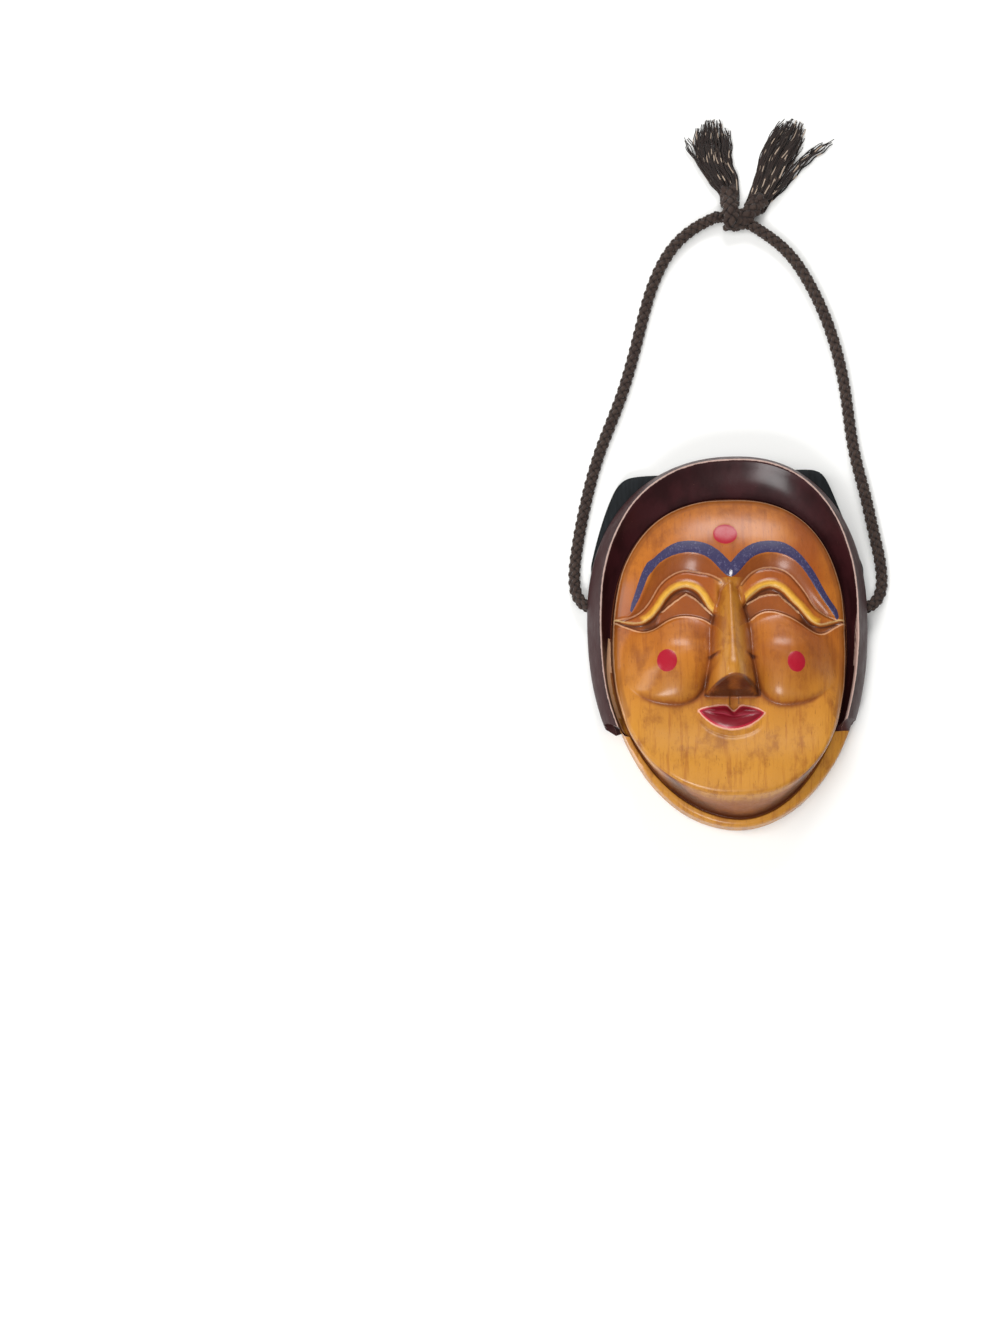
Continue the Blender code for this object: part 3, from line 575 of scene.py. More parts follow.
def drill_holes(mask):
    """Both cord holes, cut in one pass through the sides of the hood."""
    bm = bmesh.new()
    bmesh.ops.create_cone(bm, cap_ends=True, segments=48, radius1=HOLE_DIAMETER / 2,
                          radius2=HOLE_DIAMETER / 2, depth=140.0)
    bmesh.ops.rotate(bm, verts=bm.verts, cent=(0, 0, 0), matrix=Y_QUARTER)
    bmesh.ops.translate(bm, verts=bm.verts, vec=(0.0, HOLE_Y, HOLE_Z))
    drill = to_object("drill", bm, [])
    cut = mask.modifiers.new("cord holes", "BOOLEAN")
    cut.operation, cut.solver, cut.object = "DIFFERENCE", "EXACT", drill
    bored = bpy.data.meshes.new_from_object(mask.evaluated_get(bpy.context.evaluated_depsgraph_get()))
    mask.modifiers.clear()
    mask.data = bored
    bpy.data.objects.remove(drill, do_unlink=True)


def sunk(x, y, reach):
    """How far the face lies below its own surroundings, averaged over this reach in millimetres."""
    pitch = 0.5
    xs, ys = np.arange(-52.0, 52.0, pitch), np.arange(-82.0, 62.0, pitch)
    height = face_height(*np.meshgrid(xs, ys))
    span = np.arange(-int(3 * reach / pitch), int(3 * reach / pitch) + 1) * pitch
    weight = np.exp(-(span / reach) ** 2 / 2)
    pad = len(span) // 2
    around = np.pad(height, pad, mode="edge")
    for axis in (0, 1):
        around = np.apply_along_axis(np.convolve, axis, around, weight / weight.sum(), "valid")
    low = around - height
    i = np.clip((x - xs[0]) / pitch, 0, len(xs) - 1.001)
    j = np.clip((y - ys[0]) / pitch, 0, len(ys) - 1.001)
    i0, j0 = i.astype(int), j.astype(int)
    u, v = i - i0, j - j0
    return ((low[j0, i0] * (1 - u) + low[j0, i0 + 1] * u) * (1 - v)
            + (low[j0 + 1, i0] * (1 - u) + low[j0 + 1, i0 + 1] * u) * v)


def paint_map(mask):
    """Writes what the finishes follow: distances to each carved line and into each painted shape, brown
    staining together with painted shade in the recesses, and wear on the edges."""
    mesh = mask.data
    place = np.empty(len(mesh.vertices) * 3, np.float32)
    mesh.vertices.foreach_get("co", place)
    x, y, z = place.reshape(-1, 3).T.astype(float) / MM
    at = np.arctan2(y - CENTRE[1], x - CENTRE[0])
    far = np.hypot(x - CENTRE[0], y - CENTRE[1])
    plate = cut_outline("plate", at)
    top = z > face_height(x, y) - PAINT_DEEP
    front = top & (far < plate + 0.2)
    away = np.where(front, 0.0, -9.0)
    above = beside(x, y, BROW_LINE)
    set_attribute(mesh, "brow", brow_stripe(x, above) + away)
    across = np.abs(x - CENTRE[0])
    clear = across - spline(y, NOSE_BASE) + 0.3
    beyond = np.where(front, 1.0, FAR_OFF) * (1.0 + FAR_OFF * step(-clear, -0.6, 0.3))
    fold, lid, eyeball, cheek = [np.where(x < CENTRE[0], a, b) * beyond for a, b in zip(
        across_eye(x, y, EYES[0], EYE_LINES[0]), across_eye(x, y, EYES[1], EYE_LINES[1]))]
    ends = 1.0 + FAR_OFF * step(across, 27.5, 30.0)
    for name, values in (("fold", fold), ("lid", lid), ("eyeball", eyeball * ends), ("cheek", cheek)):
        set_attribute(mesh, name, values)
    length = np.minimum(clear, 0.4 * (36.0 - across + 0.4 * (y - 4.0)))
    set_attribute(mesh, "gold", np.minimum(np.minimum(lid, 0.5 * (GOLD_WIDE - lid)), length) + away)
    dots = [(1 - np.hypot((x - cx) / a, (y - cy) / b)) * (a + b) / 2 for cx, cy, a, b in DOTS]
    set_attribute(mesh, "dots", np.max(dots, axis=0) + away)
    lips, parting = mouth_shape(x, y)
    set_attribute(mesh, "lips", lips + away)
    set_attribute(mesh, "parting", parting)
    px, high, low, half = PHILTRUM
    outside = FAR_OFF * ((y > high + 0.6) | (y < low + 1.4) | ~front)
    set_attribute(mesh, "philtrum", np.abs(np.abs(x - px) - half) + outside)
    (x0, y0, _), (x1, y1, _) = NOSE_TOP, NOSE_TIP
    ridge = x - x0 - (x1 - x0) * np.clip((y0 - y) / (y0 - y1), 0.0, 1.0)
    set_attribute(mesh, "ridge", np.abs(ridge) + FAR_OFF * ((y > y0 + 1.0) | (y < -27.0) | ~front))
    set_attribute(mesh, "vee", np.exp(-((x - CENTRE[0]) / 1.0) ** 2 - ((y - 23.0) / 1.9) ** 2))
    set_attribute(mesh, "rim", np.where(top, far - plate, 3.0) * (1.0 + FAR_OFF * step(-y, 34.0, 46.0)))
    rubbed = step(-y, -12.0, 2.0) * np.where(x > 0, 3.4, 0.3)
    crest = far - cut_outline("crest", at)
    crest = crest / (1.0 + rubbed * (crest < 0))
    set_attribute(mesh, "crest", crest * np.where(z < CREST_FOOT, FAR_OFF, 1.0))

    # Brown staining together with painted shade, darker in the recesses: on the brow's wall, in the eye
    # sockets, under the nose and in its nostril cuts, in the crease under each cheek ball, and wherever the
    # face lies below its surroundings.
    near_nose = step(-across, -4.0, -1.0)
    stain_and_shade = 0.45 * (1 - near_nose) * step(fold, -0.2, 0.5) * step(-above, 0.2, 1.0)
    stain_and_shade = np.maximum(stain_and_shade, 0.42 * (1 - near_nose) * step(-lid, 0.0, 0.5) * step(cheek, -0.2, 0.4))
    under = step(nose_arch(x) - y, -0.5, 0.4) * step(y, -27.4, -26.2) * step(-np.abs(x - 0.9), -11.8, -11.0)
    nostrils = sum(np.exp(-((x - nx) / 2.6) ** 2 - ((y + 23.6) / 1.5) ** 2) for nx in (-3.9, 5.9))
    stain_and_shade = np.maximum(stain_and_shade, under * (0.80 + 0.6 * nostrils))
    stain_and_shade = np.maximum(stain_and_shade, 0.95 * nostril_marks(x, y))
    for sign, ball in ((-1, BALL_LEFT), (1, BALL_RIGHT)):
        reach, ear, up = ball_reach(x, y, sign, ball)
        low = step(-up, -2.0, 6.0) * step(-ear, -20.0, -12.0) * (sign * x > 0)
        stain_and_shade = np.maximum(stain_and_shade, 0.40 * low * np.exp(-((reach - 1.0) / 0.10) ** 2))
    fine, broad = sunk(x, y, 1.2), sunk(x, y, 4.5)
    stain_and_shade = stain_and_shade + np.clip(broad * 0.16 - 0.05, 0.0, 0.30) + np.clip(fine * 0.6 - 0.1, 0.0, 0.25)
    # Darker towards the plate's upper edge.
    stain_and_shade = stain_and_shade + 0.30 * step(far / plate, 0.74, 0.98) * step(y, 5.0, 40.0)
    # Painted shade on the plate's side wall, in the groove round it and just beyond the groove at the left.
    groove = far - OUTLINE["groove"](at)
    side = (far > plate - 0.3) & (z < face_height(x, y) + 0.5) | ~top & (groove > -1.5)
    wall = 0.50 * step(far - plate, 0.0, 0.8) * step(-groove, -1.2, 0.4) + np.exp(-(groove / 1.1) ** 2)
    wall = wall + 1.3 * step(-x, 30.0, 40.0) * step(y, -16.0, 0.0) * step(groove, 0.2, 0.5)
    stain_and_shade = np.where(front & ~side, stain_and_shade, np.where(side, wall, 0.0)) * (z > 5.0)
    set_attribute(mesh, "stain_and_shade", np.clip(stain_and_shade, 0.0, 1.3))
    ledge = step(-x, 30.0, 40.0) * step(groove, 0.3, 0.8) * step(-groove, -4.4, -3.4) * step(-y, -8.0, 4.0)
    nose = step(-np.abs(x - 1.0), -13.0, -12.0) * step(y, -29.0, -28.0) * step(-y, -18.0, -14.0)
    worn = np.where(front, np.clip(-fine * 1.1 - 0.25, 0.0, 0.8), 0.0) * (1 - nose)
    set_attribute(mesh, "worn", np.maximum(worn, 1.6 * ledge * (far > plate + 1.0) * (z > 8.0)))


# Braid, knot and loose ends

Y_QUARTER = Matrix.Rotation(math.pi / 2, 3, "Y")


def carried_frames(line):
    """Two directions square to the line at each of its points, carried along it without twisting."""
    ahead = np.gradient(line, axis=0)
    ahead /= np.linalg.norm(ahead, axis=1, keepdims=True)
    side = np.cross(ahead[0], (0.0, 0.0, 1.0))
    sides = []
    for direction in ahead:
        side = side - direction * side.dot(direction)
        side /= np.linalg.norm(side)
        sides.append(side)
    sides = np.array(sides)
    return ahead, sides, np.cross(ahead, sides)


def tube(bm, centres, across, out, wide, thick, sides, shade):
    """An oval tube laid from a grid whose one side follows the centres, with its seam closed. The shade is
    how much light its yarn catches."""
    count = len(centres)
    made = bmesh.ops.create_grid(bm, x_segments=count - 1, y_segments=sides, size=0.5)["verts"]
    rows = np.array([[v.co.x + 0.5, v.co.y + 0.5] for v in made])
    i = np.rint(rows[:, 0] * (count - 1)).astype(int)
    around = (rows[:, 1] * 2 * math.pi)[:, None]
    wide, thick = np.broadcast_to(wide, count)[i, None], np.broadcast_to(thick, count)[i, None]
    place = centres[i] + across[i] * wide * np.cos(around) + out[i] * thick * np.sin(around)
    caught = shade(place, i) if callable(shade) else np.full(len(place), shade)
    layer = bm.verts.layers.float["shade"]
    for v, p, c in zip(made, place, caught):
        v.co = p
        v[layer] = c
    bmesh.ops.remove_doubles(bm, verts=made, dist=0.001)


def close_ends(bm):
    bmesh.ops.holes_fill(bm, edges=[e for e in bm.edges if e.is_boundary], sides=0)
    bmesh.ops.recalc_face_normals(bm, faces=bm.faces)


def braid(bm, points, scale, flat):
    """Eight strands, four turning each way, each passing over and under those that it meets. A braid that
    is pulled flat is wider and thinner. Yarn deep between the strands catches less light."""
    length = np.linalg.norm(np.diff(points, axis=0), axis=1).sum()
    count = max(8, int(length / BRAID_STEP / scale))
    line = through(points, count)
    ahead, right, up = carried_frames(line)
    run = np.linspace(0.0, length, count)
    size = np.full(count, scale)
    beats = 8 * run / (BRAID_PITCH * scale)
    for way in (-1, 1):
        out = (STRAND_OUT + way * STRAND_WEAVE * np.cos(math.pi * beats)) * size
        for n in range(4):
            angle = way * beats * math.pi / 4 + n * math.pi / 2
            outward = right * np.cos(angle)[:, None] * flat[0] + up * np.sin(angle)[:, None] * flat[1]
            centres = line + outward * out[:, None]
            along = np.gradient(centres, axis=0)
            across = np.cross(along, outward)
            across /= np.linalg.norm(across, axis=1, keepdims=True)
            tube(bm, centres, across * flat[0], outward, STRAND_WIDE * size, STRAND_THICK * size, 6,
                 lambda place, i: np.clip(((place - centres[i]) * outward[i]).sum(axis=1) / scale
                                          + 0.9 * (out[i] / scale - STRAND_OUT) + 0.45, 0.0, 1.0))


def yarn_mesh():
    bm = bmesh.new()
    bm.verts.layers.float.new("shade")
    return bm


def make_braided(name, passes, fibre):
    """One piece of braid, laid pass by pass: the route of each, its size and how flat it is pulled."""
    bm = yarn_mesh()
    for route, scale, flat in passes:
        braid(bm, np.array(route), scale, flat)
    close_ends(bm)
    return to_object(name, bm, [fibre])


# Passes of the knot. One goes behind, the band comes down over it and tucks under, and the last leaves
# from under the band to the upper right.
KNOT_PASSES = (
    (((-1.8, 180.2, 3.3), (2.6, 180.4, 2.4), (6.6, 179.4, 2.4), (11.6, 176.9, 3.2)), 1.0, (1.0, 0.9)),
    (((3.2, 188.4, 3.6), (3.3, 184.4, 5.8), (3.6, 180.4, 6.4), (3.9, 177.4, 5.4), (4.0, 175.9, 3.0)),
     1.05, (1.42, 0.85)),
    (((14.4, 186.4, 3.8), (11.6, 182.2, 4.8), (8.8, 179.4, 4.8), (6.2, 177.6, 3.8), (4.6, 177.0, 2.8)),
     1.08, (1.45, 0.8)))

# Frayed ends. Stub: the last of the braid, its size and flatness. Bunches: middle line, half widths along
# it, and number of threads
LEFT_STUB = (((3.2, 186.0, 3.4), (3.2, 189.0, 3.3), (2.4, 193.0, 3.0)), 1.12, (1.45, 0.9))
LEFT_BUNCHES = (
    (((3.1, 185.0), (3.2, 190.0), (1.4, 196.0), (-1.7, 202.0), (-3.4, 212.0), (-3.9, 224.4)),
     ((0, 3.4), (0.13, 3.9), (0.28, 5.4), (0.45, 6.3), (0.72, 7.2), (1, 4.8)), 104),
    (((1.2, 190.0), (-4.0, 198.0), (-8.6, 204.5), (-12.6, 211.0), (-15.4, 216.6)),
     ((0, 1.2), (0.5, 1.6), (1, 1.9)), 9))
RIGHT_STUB = (((13.4, 184.2, 3.6), (14.6, 186.4, 3.4), (15.8, 188.8, 2.8)), 1.12, (1.55, 0.85))
RIGHT_BUNCHES = (
    (((13.6, 184.5), (17.0, 192.0), (20.0, 199.3), (22.9, 206.3), (26.6, 213.0), (32.4, 224.0)),
     ((0, 4.4), (0.2, 4.9), (0.4, 6.0), (0.58, 7.0), (0.76, 7.0), (1, 4.8)), 112),
    (((19.0, 188.0), (25.0, 194.0), (31.0, 201.6), (38.5, 208.6), (48.2, 215.6)),
     ((0, 1.4), (0.5, 2.2), (1, 1.6)), 10))
THREAD_HALF = 0.33


def make_frayed_end(name, stub, bunches, seed, fibre):
    """The braid's last stretch opens into crimped threads that fan out, lie flat and end unevenly."""
    rng = np.random.default_rng(seed)
    bm = yarn_mesh()
    braid(bm, np.array(stub[0]), stub[1], stub[2])
    for guide, widths, threads in bunches:
        middle = through(guide, 26)
        ahead = np.gradient(middle, axis=0)
        ahead /= np.linalg.norm(ahead, axis=1, keepdims=True)
        side = np.stack([ahead[:, 1], -ahead[:, 0]], axis=1)
        share = np.linspace(0.0, 1.0, len(middle))
        fan = spline(share, widths)
        for n in range(threads):
            lane = rng.uniform(-1, 1)
            ends = rng.uniform(0.84, 1.0) - 0.10 * abs(lane) ** 3
            across = (lane + rng.normal(0, 0.10) * share ** 1.5) * fan
            across += 0.30 * np.sin(share * rng.uniform(18, 34) + rng.uniform(0, 6.3)) * (0.3 + share)
            level = rng.uniform(0, 1)
            height = 0.5 + level * (4.4 - 2.0 * share) * np.sqrt(np.clip(1 - 0.8 * lane ** 2, 0.1, 1))
            height += 0.30 * np.sin(share * rng.uniform(16, 30) + rng.uniform(0, 6.3)) * share
            line = np.column_stack([middle + side * across[:, None], np.clip(height, THREAD_HALF, None)])
            line = line[share <= ends]
            _, right, up = carried_frames(line)
            thin = THREAD_HALF * rng.uniform(0.75, 1.15) * (1 - 0.4 * np.linspace(0, 1, len(line)) ** 3)
            # Threads that lie higher are painted lighter and those lower down darker: painted light and
            # shade, varied from thread to thread.
            dark = 0.15 + 0.7 * level * rng.uniform(0.5, 1.0)
            pale = 0.6 if rng.uniform() < 0.30 else 2.0
            start, beat = rng.uniform(0, 6.3), rng.uniform(0.5, 1.1)
            tube(bm, line, right, up, thin, thin, 5,
                 lambda place, i: np.where(np.sin(i * beat + start) > pale, 1.6, dark))
    close_ends(bm)
    return to_object(name, bm, [fibre])


# Materials

def linear(hex_colour):
    """Linear RGBA from an sRGB hex colour."""
    channels = [int(hex_colour[i:i + 2], 16) / 255 for i in (1, 3, 5)]
    return (*(c / 12.92 if c <= 0.04045 else ((c + 0.055) / 1.055) ** 2.4 for c in channels), 1.0)


def new_material(name):
    made = bpy.data.materials.new(name)
    made.use_nodes = True
    return made, made.node_tree, made.node_tree.nodes["Principled BSDF"]


def fill(tree, made, values):
    """Sets a node's inputs, or links them where the value is another node's output."""
    for socket, value in values.items():
        if isinstance(value, bpy.types.NodeSocket):
            tree.links.new(value, made.inputs[socket])
        else:
            made.inputs[socket].default_value = value


def node(tree, kind, values=None, output=0, **settings):
    """One shader node with its settings, and its inputs set or linked. The output asked for is returned."""
    made = tree.nodes.new("ShaderNode" + kind)
    for name, value in settings.items():
        setattr(made, name, value)
    fill(tree, made, values or {})
    return made.outputs[output]


def grain(tree, size_mm, detail=3.0, rough=0.5):
    """Patches of this real size in millimetres along x, y and z, for grain, brush marks and handling."""
    where = node(tree, "TexCoord", output="Object")
    where = node(tree, "Mapping", {"Vector": where, "Scale": [1.0 / (s * MM) for s in size_mm]})
    return node(tree, "TexNoise", {"Vector": where, "Scale": 1.0, "Detail": detail, "Roughness": rough})


def lay(tree, under, colour, value, start, full, cover=1.0):
    """Lays a colour over what is under it, from nothing where the value is at start to its full cover."""
    share = node(tree, "MapRange", {"Value": value, "From Min": start, "From Max": full, "To Max": cover},
                 interpolation_type="SMOOTHSTEP")
    return node(tree, "Mix", {0: share, 6: under, 7: linear(colour)}, output=2, data_type="RGBA")


def lay_line(tree, under, colour, line, beside_mm, half_mm, cover, broken=None):
    """Colour along a carved line of the mesh, or beside it, worn through where the broken patches are."""
    off = node(tree, "Attribute", output="Fac", attribute_name=line)
    off = node(tree, "Math", {0: off, 1: -beside_mm}, operation="ADD")
    off = node(tree, "Math", {0: off}, operation="ABSOLUTE")
    if broken is not None:
        off = node(tree, "Math", {0: broken, 1: -1.6 * half_mm, 2: off}, operation="MULTIPLY_ADD")
    return lay(tree, under, colour, off, half_mm * (1.3 if broken is None else 0.4),
               half_mm * (0.5 if broken is None else -0.3), cover)


def lay_paint(tree, under, colour, shape, ragged, soft=0.12, cover=1.0, inset=0.0):
    """Paint inside a shape that the mesh carries, with a slightly ragged brushed edge."""
    inside = node(tree, "Attribute", output="Fac", attribute_name=shape)
    inside = node(tree, "Math", {0: ragged, 1: 0.36, 2: inside}, operation="MULTIPLY_ADD")
    return lay(tree, under, colour, inside, 0.14 + inset, 0.22 + inset + soft, cover)


def uneven(tree, strength):
    """The slight waves that the gouge and the brush leave, with fine grain raised through the lacquer."""
    waves = node(tree, "Bump", {"Height": grain(tree, (2.6, 4.2, 2.6), 2.0), "Strength": strength,
                                "Distance": 0.25 * MM})
    return node(tree, "Bump", {"Height": grain(tree, (0.35, 0.8, 0.35), 3.0, 0.6), "Strength": strength,
                               "Distance": 0.05 * MM, "Normal": waves})


def lacquered_limewood():
    """Pale carved limewood, stained amber, with brown staining and painted shade in the recesses, painted,
    then lacquered: warm, deep colour under a soft gloss, with darker grain flecks, edges rubbed pale,
    painted shadow and highlight along the carved lines and a yellower painted light towards the chin."""
    made, tree, shader = new_material("lacquered limewood")
    colour = lay(tree, linear("#944A14"), "#B2681F", grain(tree, (22, 34, 22), 2.0), 0.36, 0.64)
    # Painted light: a yellower, lighter tone laid over the lower face towards the chin, and along the nose.
    up_face = node(tree, "SeparateXYZ", {0: node(tree, "TexCoord", output="Object")}, output="Y")
    colour = lay(tree, colour, "#BD842E", up_face, 0.006, -0.050, 0.85)
    colour = lay_line(tree, colour, "#BC862C", "ridge", 0.0, 5.8, 0.55)
    colour = lay(tree, colour, "#8A4616", grain(tree, (1.6, 22, 8), 4.0, 0.6), 0.48, 0.70, 0.45)
    colour = lay(tree, colour, "#7A3C14", grain(tree, (8, 11, 8), 5.0, 0.65), 0.48, 0.70, 0.5)
    colour = lay(tree, colour, "#5E3110", grain(tree, (0.55, 3.6, 2.0), 3.0, 0.65), 0.60, 0.72, 0.42)

    cloud = grain(tree, (3.2, 4.4, 3.2), 4.0, 0.6)
    # Brown staining together with painted shade in the recesses, clouded, laid in two depths.
    stain_and_shade = node(tree, "Attribute", output="Fac", attribute_name="stain_and_shade")
    stain_and_shade = node(tree, "Math", {0: cloud, 1: 0.5, 2: stain_and_shade}, operation="MULTIPLY_ADD")
    colour = lay(tree, colour, "#824319", stain_and_shade, 0.32, 0.90, 0.85)
    colour = lay(tree, colour, "#451E0E", stain_and_shade, 0.80, 1.45, 0.92)

    broken = grain(tree, (1.3, 1.8, 1.3), 3.0, 0.6)
    # Painted shadow along the carved lines: in the fold's crease, in the gap under the gold lid edge, in the
    # socket's corners by the cheek and under the eyeball's top, and in the philtrum's grooves.
    for line, beside_mm, half_mm, cover in (("fold", -0.55, 0.30, 0.55), ("lid", -0.55, 0.40, 0.75),
                                            ("cheek", 0.45, 0.35, 0.6), ("eyeball", 0.45, 0.30, 0.4),
                                            ("philtrum", 0.0, 0.28, 0.7)):
        colour = lay_line(tree, colour, "#4A2410", line, beside_mm, half_mm, cover)
    colour = lay_line(tree, colour, "#6E3A18", "rim", -1.5, 1.3, 0.4)
    # Pale lines along the carved edges and the plate's rim: the wood rubbed through there, with a painted
    # highlight along them.
    for line, beside_mm, half_mm, cover in (("fold", 0.15, 0.28, 0.3), ("cheek", -0.25, 0.30, 0.5),
                                            ("eyeball", -0.35, 0.42, 0.7), ("rim", -0.2, 0.28, 0.5)):
        colour = lay_line(tree, colour, "#E3B48C", line, beside_mm, half_mm, cover, broken)
    worn = node(tree, "Attribute", output="Fac", attribute_name="worn")
    worn = node(tree, "Math", {0: worn, 1: broken}, operation="MULTIPLY")
    colour = lay(tree, colour, "#DFAE86", worn, 0.10, 0.45, 0.8)

    ragged = grain(tree, (0.8, 0.8, 0.8), 2.0)
    colour = lay_paint(tree, colour, "#35304F", "brow", ragged)
    rubbed = grain(tree, (0.8, 1.1, 0.8), 4.0, 0.7)
    blue = lay(tree, linear("#332E50"), "#6B6684", rubbed, 0.52, 0.72, 0.7)
    brow = node(tree, "Attribute", output="Fac", attribute_name="brow")
    inside = node(tree, "MapRange", {"Value": brow, "From Min": 0.1, "From Max": 0.3})
    colour = node(tree, "Mix", {0: inside, 6: colour, 7: blue}, output=2, data_type="RGBA")
    # A whitish spot at the bottom of the brows' V: rubbed paint and a painted highlight.
    vee = node(tree, "Attribute", output="Fac", attribute_name="vee")
    vee = node(tree, "Math", {0: vee, 1: rubbed}, operation="MULTIPLY")
    colour = lay(tree, colour, "#DAD6DA", vee, 0.24, 0.42, 0.9)
    colour = lay_paint(tree, colour, "#B97F22", "gold", ragged, 0.45, 0.85)
    # Painted highlight: brighter gold along the middle of the raised band, clouded.
    gold_highlight = node(tree, "Attribute", output="Fac", attribute_name="gold")
    gold_highlight = node(tree, "Math", {0: cloud, 1: 1.2, 2: gold_highlight}, operation="MULTIPLY_ADD")
    colour = lay(tree, colour, "#D8A63C", gold_highlight, 1.0, 1.6, 0.75)
    # Painted highlight: a pale line along the gold band's lower edge, broken in patches.
    colour = lay_line(tree, colour, "#EBCF8C", "lid", 0.50, 0.34, 0.4, broken)
    colour = lay_paint(tree, colour, "#9E0A24", "dots", ragged, 0.06)
    lips = node(tree, "Attribute", output="Fac", attribute_name="lips")
    outline = node(tree, "Math", {0: broken, 1: 0.8, 2: lips}, operation="MULTIPLY_ADD")
    colour = lay(tree, colour, "#DFA48E", outline, -0.45, 0.05, 0.85)
    colour = lay_paint(tree, colour, "#B3213A", "lips", ragged, 0.2)
    colour = lay_paint(tree, colour, "#780C1C", "lips", ragged, 0.5, 1.0, 0.55)
    parted = node(tree, "Attribute", output="Fac", attribute_name="parting")
    parted = node(tree, "Math", {0: parted}, operation="ABSOLUTE")
    parted = node(tree, "Math", {0: lips, 1: -0.10, 2: parted}, operation="MULTIPLY_ADD")
    colour = lay(tree, colour, "#A83448", parted, 0.05, -0.15, 0.5)

    rough = node(tree, "MapRange", {"Value": grain(tree, (4, 5, 4), 3.0), "From Min": 0.3, "From Max": 0.7,
                                    "To Min": 0.40, "To Max": 0.54})
    fill(tree, shader, {"Base Color": colour, "Roughness": rough, "IOR": 1.5, "Specular IOR Level": 0.22,
                        "Coat Weight": 0.45, "Coat Roughness": 0.24, "Normal": uneven(tree, 0.8)})
    return made


def hood_lacquer():
    """Brown-maroon paint under gloss lacquer: nearly black in shade, purple-grey where it shines, with a
    paler, greyer painted reflection on the outer wall, and rubbed to pale wood along its crest."""
    made, tree, shader = new_material("hood lacquer")
    colour = lay(tree, linear("#281012"), "#351619", grain(tree, (9, 14, 9), 3.0), 0.35, 0.65)
    broken = grain(tree, (1.1, 2.2, 1.1), 3.0, 0.6)
    crest = node(tree, "Attribute", output="Fac", attribute_name="crest")
    # Painted reflection: the outer wall beyond the crest is laid a paler, greyer maroon.
    colour = lay(tree, colour, "#3E2425", crest, 0.2, 2.0, 0.9)
    colour = lay_line(tree, colour, "#C4A79C", "crest", 0.1, 0.38, 0.8, broken)
    colour = lay(tree, colour, "#A87868", grain(tree, (0.45, 0.45, 0.45), 1.0), 0.80, 0.84, 0.6)
    rough = node(tree, "MapRange", {"Value": grain(tree, (5, 8, 5), 4.0), "From Min": 0.3, "From Max": 0.7,
                                    "To Min": 0.36, "To Max": 0.52})
    gloss = node(tree, "MapRange", {"Value": crest, "From Min": 0.0, "From Max": 1.5, "To Min": 0.3,
                                    "To Max": 0.0})
    fill(tree, shader, {"Base Color": colour, "Roughness": rough, "Coat Weight": gloss,
                        "Specular IOR Level": 0.1, "Coat Roughness": 0.2, "Normal": uneven(tree, 0.45)})
    return made


def hair_paint():
    """Blue-black water paint on the hair block: almost no shine, with faint brush marks."""
    made, tree, shader = new_material("hair paint")
    colour = lay(tree, linear("#0D1012"), "#191D20", grain(tree, (1.2, 9, 3), 4.0, 0.6), 0.3, 0.7)
    fill(tree, shader, {"Base Color": colour, "Roughness": 0.7, "Specular IOR Level": 0.25,
                        "Normal": uneven(tree, 0.4)})
    return made


def stained_back():
    """The hollow's bare limewood, thinly brushed once and stained brown: dull, streaky and blotched darker.
    """
    made, tree, shader = new_material("stained back")
    colour = lay(tree, linear("#6B3F1E"), "#8E5A2C", grain(tree, (1.4, 16, 6), 4.0, 0.6), 0.3, 0.7)
    colour = lay(tree, colour, "#4E2B14", grain(tree, (7, 9, 7), 3.0), 0.4, 0.7, 0.6)
    fill(tree, shader, {"Base Color": colour, "Roughness": 0.68, "Normal": uneven(tree, 0.8)})
    return made


def braided_yarn():
    """Soft dark brown synthetic yarn, matt: painted shade makes it nearly black between the strands, a
    painted highlight makes the crowns paler, and a few threads in the frayed ends have pale cream stretches."""
    made, tree, shader = new_material("braided yarn")
    shade = node(tree, "Attribute", output="Fac", attribute_name="shade")
    fuzz = grain(tree, (0.5, 0.5, 0.5), 4.0, 0.7)
    # Painted shade between the strands and painted highlight on their crowns, from the shade value,
    # roughened by fuzz.
    caught = node(tree, "Math", {0: fuzz, 1: 0.9, 2: shade}, operation="MULTIPLY_ADD")
    colour = lay(tree, linear("#080504"), "#291D18", caught, 0.55, 1.25)
    colour = lay(tree, colour, "#46352C", caught, 1.15, 1.6, 0.7)
    colour = lay(tree, colour, "#24130E", grain(tree, (5, 5, 5), 2.0), 0.45, 0.65, 0.45)
    colour = lay(tree, colour, "#AD9A88", shade, 1.3, 1.5, 0.85)
    fibres = node(tree, "Bump", {"Height": grain(tree, (0.22, 0.22, 0.22), 3.0, 0.7), "Strength": 0.6,
                                 "Distance": 0.12 * MM})
    fill(tree, shader, {"Base Color": colour, "Roughness": 0.8, "Sheen Weight": 0.15,
                        "Sheen Roughness": 0.4, "Normal": fibres})
    return made


# Camera, floor and light

def point_at(name, data, place, aim):
    """Puts a camera or a light at its place and points it at its aim."""
    made = bpy.data.objects.new(name, data)
    bpy.context.scene.collection.objects.link(made)
    made.location = place
    made.rotation_euler = (Vector(aim) - Vector(place)).to_track_quat("-Z", "Y").to_euler()
    return made


def set_camera():
    data = bpy.data.cameras.new("camera")
    data.lens = LENS
    data.sensor_width = 36.0
    data.clip_end = 20.0
    bpy.context.scene.camera = point_at("camera", data, EYE, AIM)


def add_light(name, place, aim, size, power):
    data = bpy.data.lights.new(name, "AREA")
    data.shape = "RECTANGLE"
    data.size, data.size_y = size
    data.energy = power
    return point_at(name, data, place, aim)


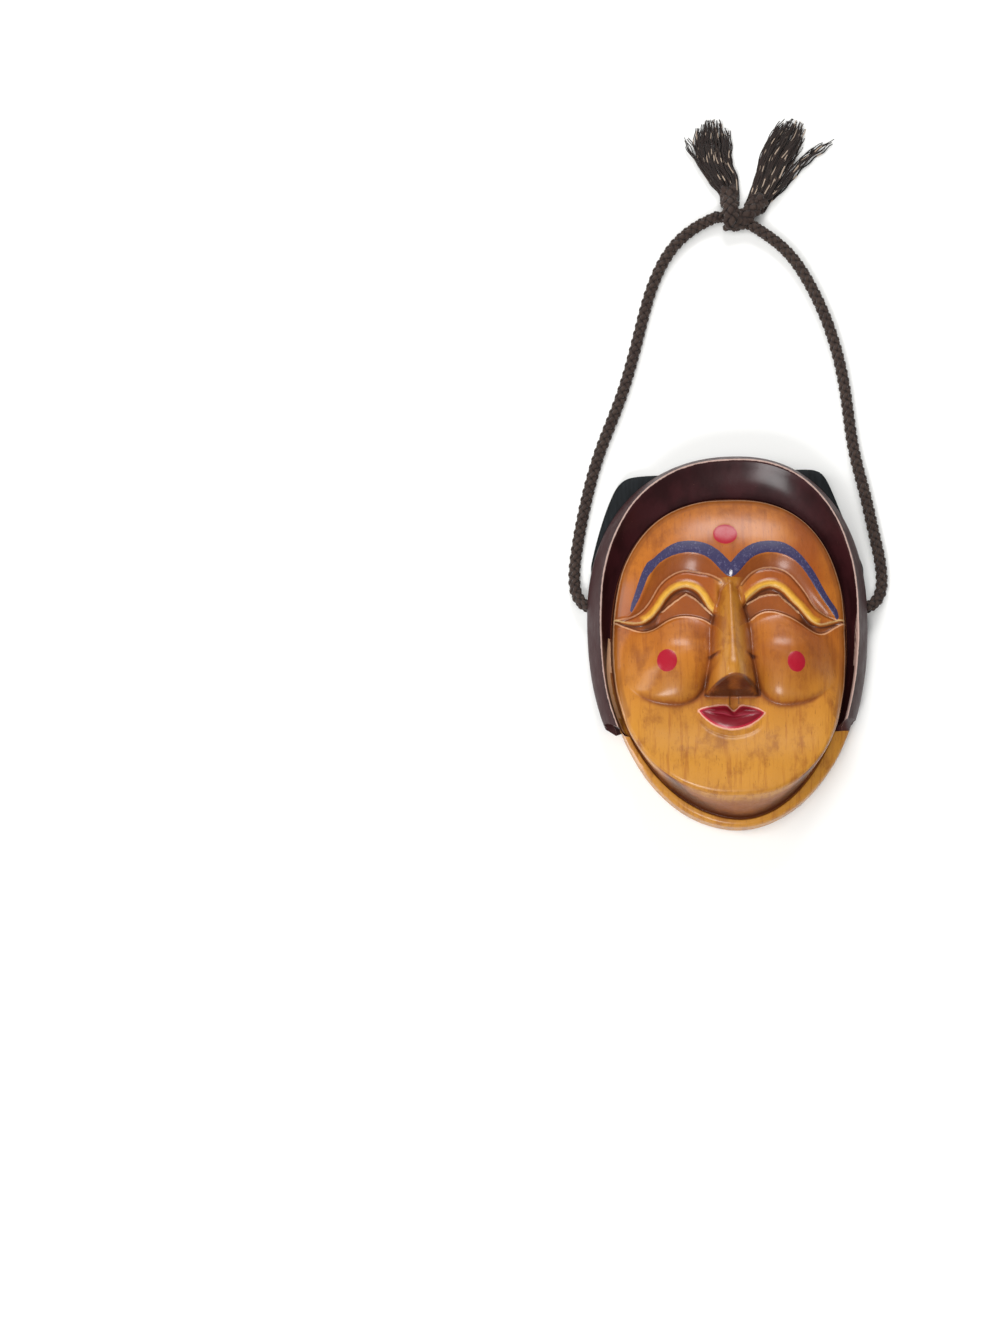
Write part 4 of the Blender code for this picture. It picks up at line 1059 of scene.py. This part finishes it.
def light_scene():
    """A window from below the chin, a soft panel behind the head, a smaller one at the left, a broad one
    overhead that leaves no reflection, and a pale room all round."""
    add_light("window", (-0.35, -1.1, 1.25), (0.0, 0.0, 0.02), (0.5, 0.5), 15.0)
    add_light("panel", (0.1, 1.35, 1.0), (0.0, 0.0, 0.02), (0.75, 0.55), 15.0)
    add_light("left panel", (-1.3, 0.1, 0.8), (0.0, 0.0, 0.02), (0.5, 0.8), 6.0)
    ceiling = add_light("ceiling", (-0.5, -0.2, 2.5), (0.0, 0.0, 0.0), (1.8, 1.8), 30.0)
    ceiling.visible_glossy = False
    world = bpy.data.worlds.new("pale room")
    world.use_nodes = True
    world.node_tree.nodes["Background"].inputs["Color"].default_value = linear("#FFFFFF")
    world.node_tree.nodes["Background"].inputs["Strength"].default_value = 0.20
    bpy.context.scene.world = world
    bpy.context.scene.view_settings.view_transform = "Standard"


def lay_floor():
    bm = bmesh.new()
    bmesh.ops.create_grid(bm, x_segments=1, y_segments=1, size=3000.0)
    bmesh.ops.translate(bm, verts=bm.verts, vec=(0.0, 0.0, -0.2))
    made, tree, shader = new_material("white paper")
    fill(tree, shader, {"Base Color": linear("#F4F4F2"), "Roughness": 0.9, "Specular IOR Level": 0.1})
    to_object("floor", bm, [made])


# The whole object

set_camera()
yarn = braided_yarn()
cord = make_braided("braided_cord", [(np.array(CORD_ROUTE) / MM, 1.0, (1.0, 1.0))], yarn)
knot = make_braided("tied_knot", KNOT_PASSES, yarn)
tassel_left = make_frayed_end("frayed_end_left", LEFT_STUB, LEFT_BUNCHES, 11, yarn)
tassel_right = make_frayed_end("frayed_end_right", RIGHT_STUB, RIGHT_BUNCHES, 23, yarn)
for piece, cad_node in ((cord, "cord"), (knot, "knot"), (tassel_left, "tassel_left"),
                        (tassel_right, "tassel_right")):
    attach(piece, "root")
    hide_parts(cad_node)
through(CORD_ROUTE, 240).tolist()

mask = to_object("carved_mask", mask_body(), [lacquered_limewood(), hood_lacquer(), hair_paint(),
                                              stained_back()])
drill_holes(mask)
paint_map(mask)
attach(mask, "root")
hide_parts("mask")

lay_floor()
light_scene()
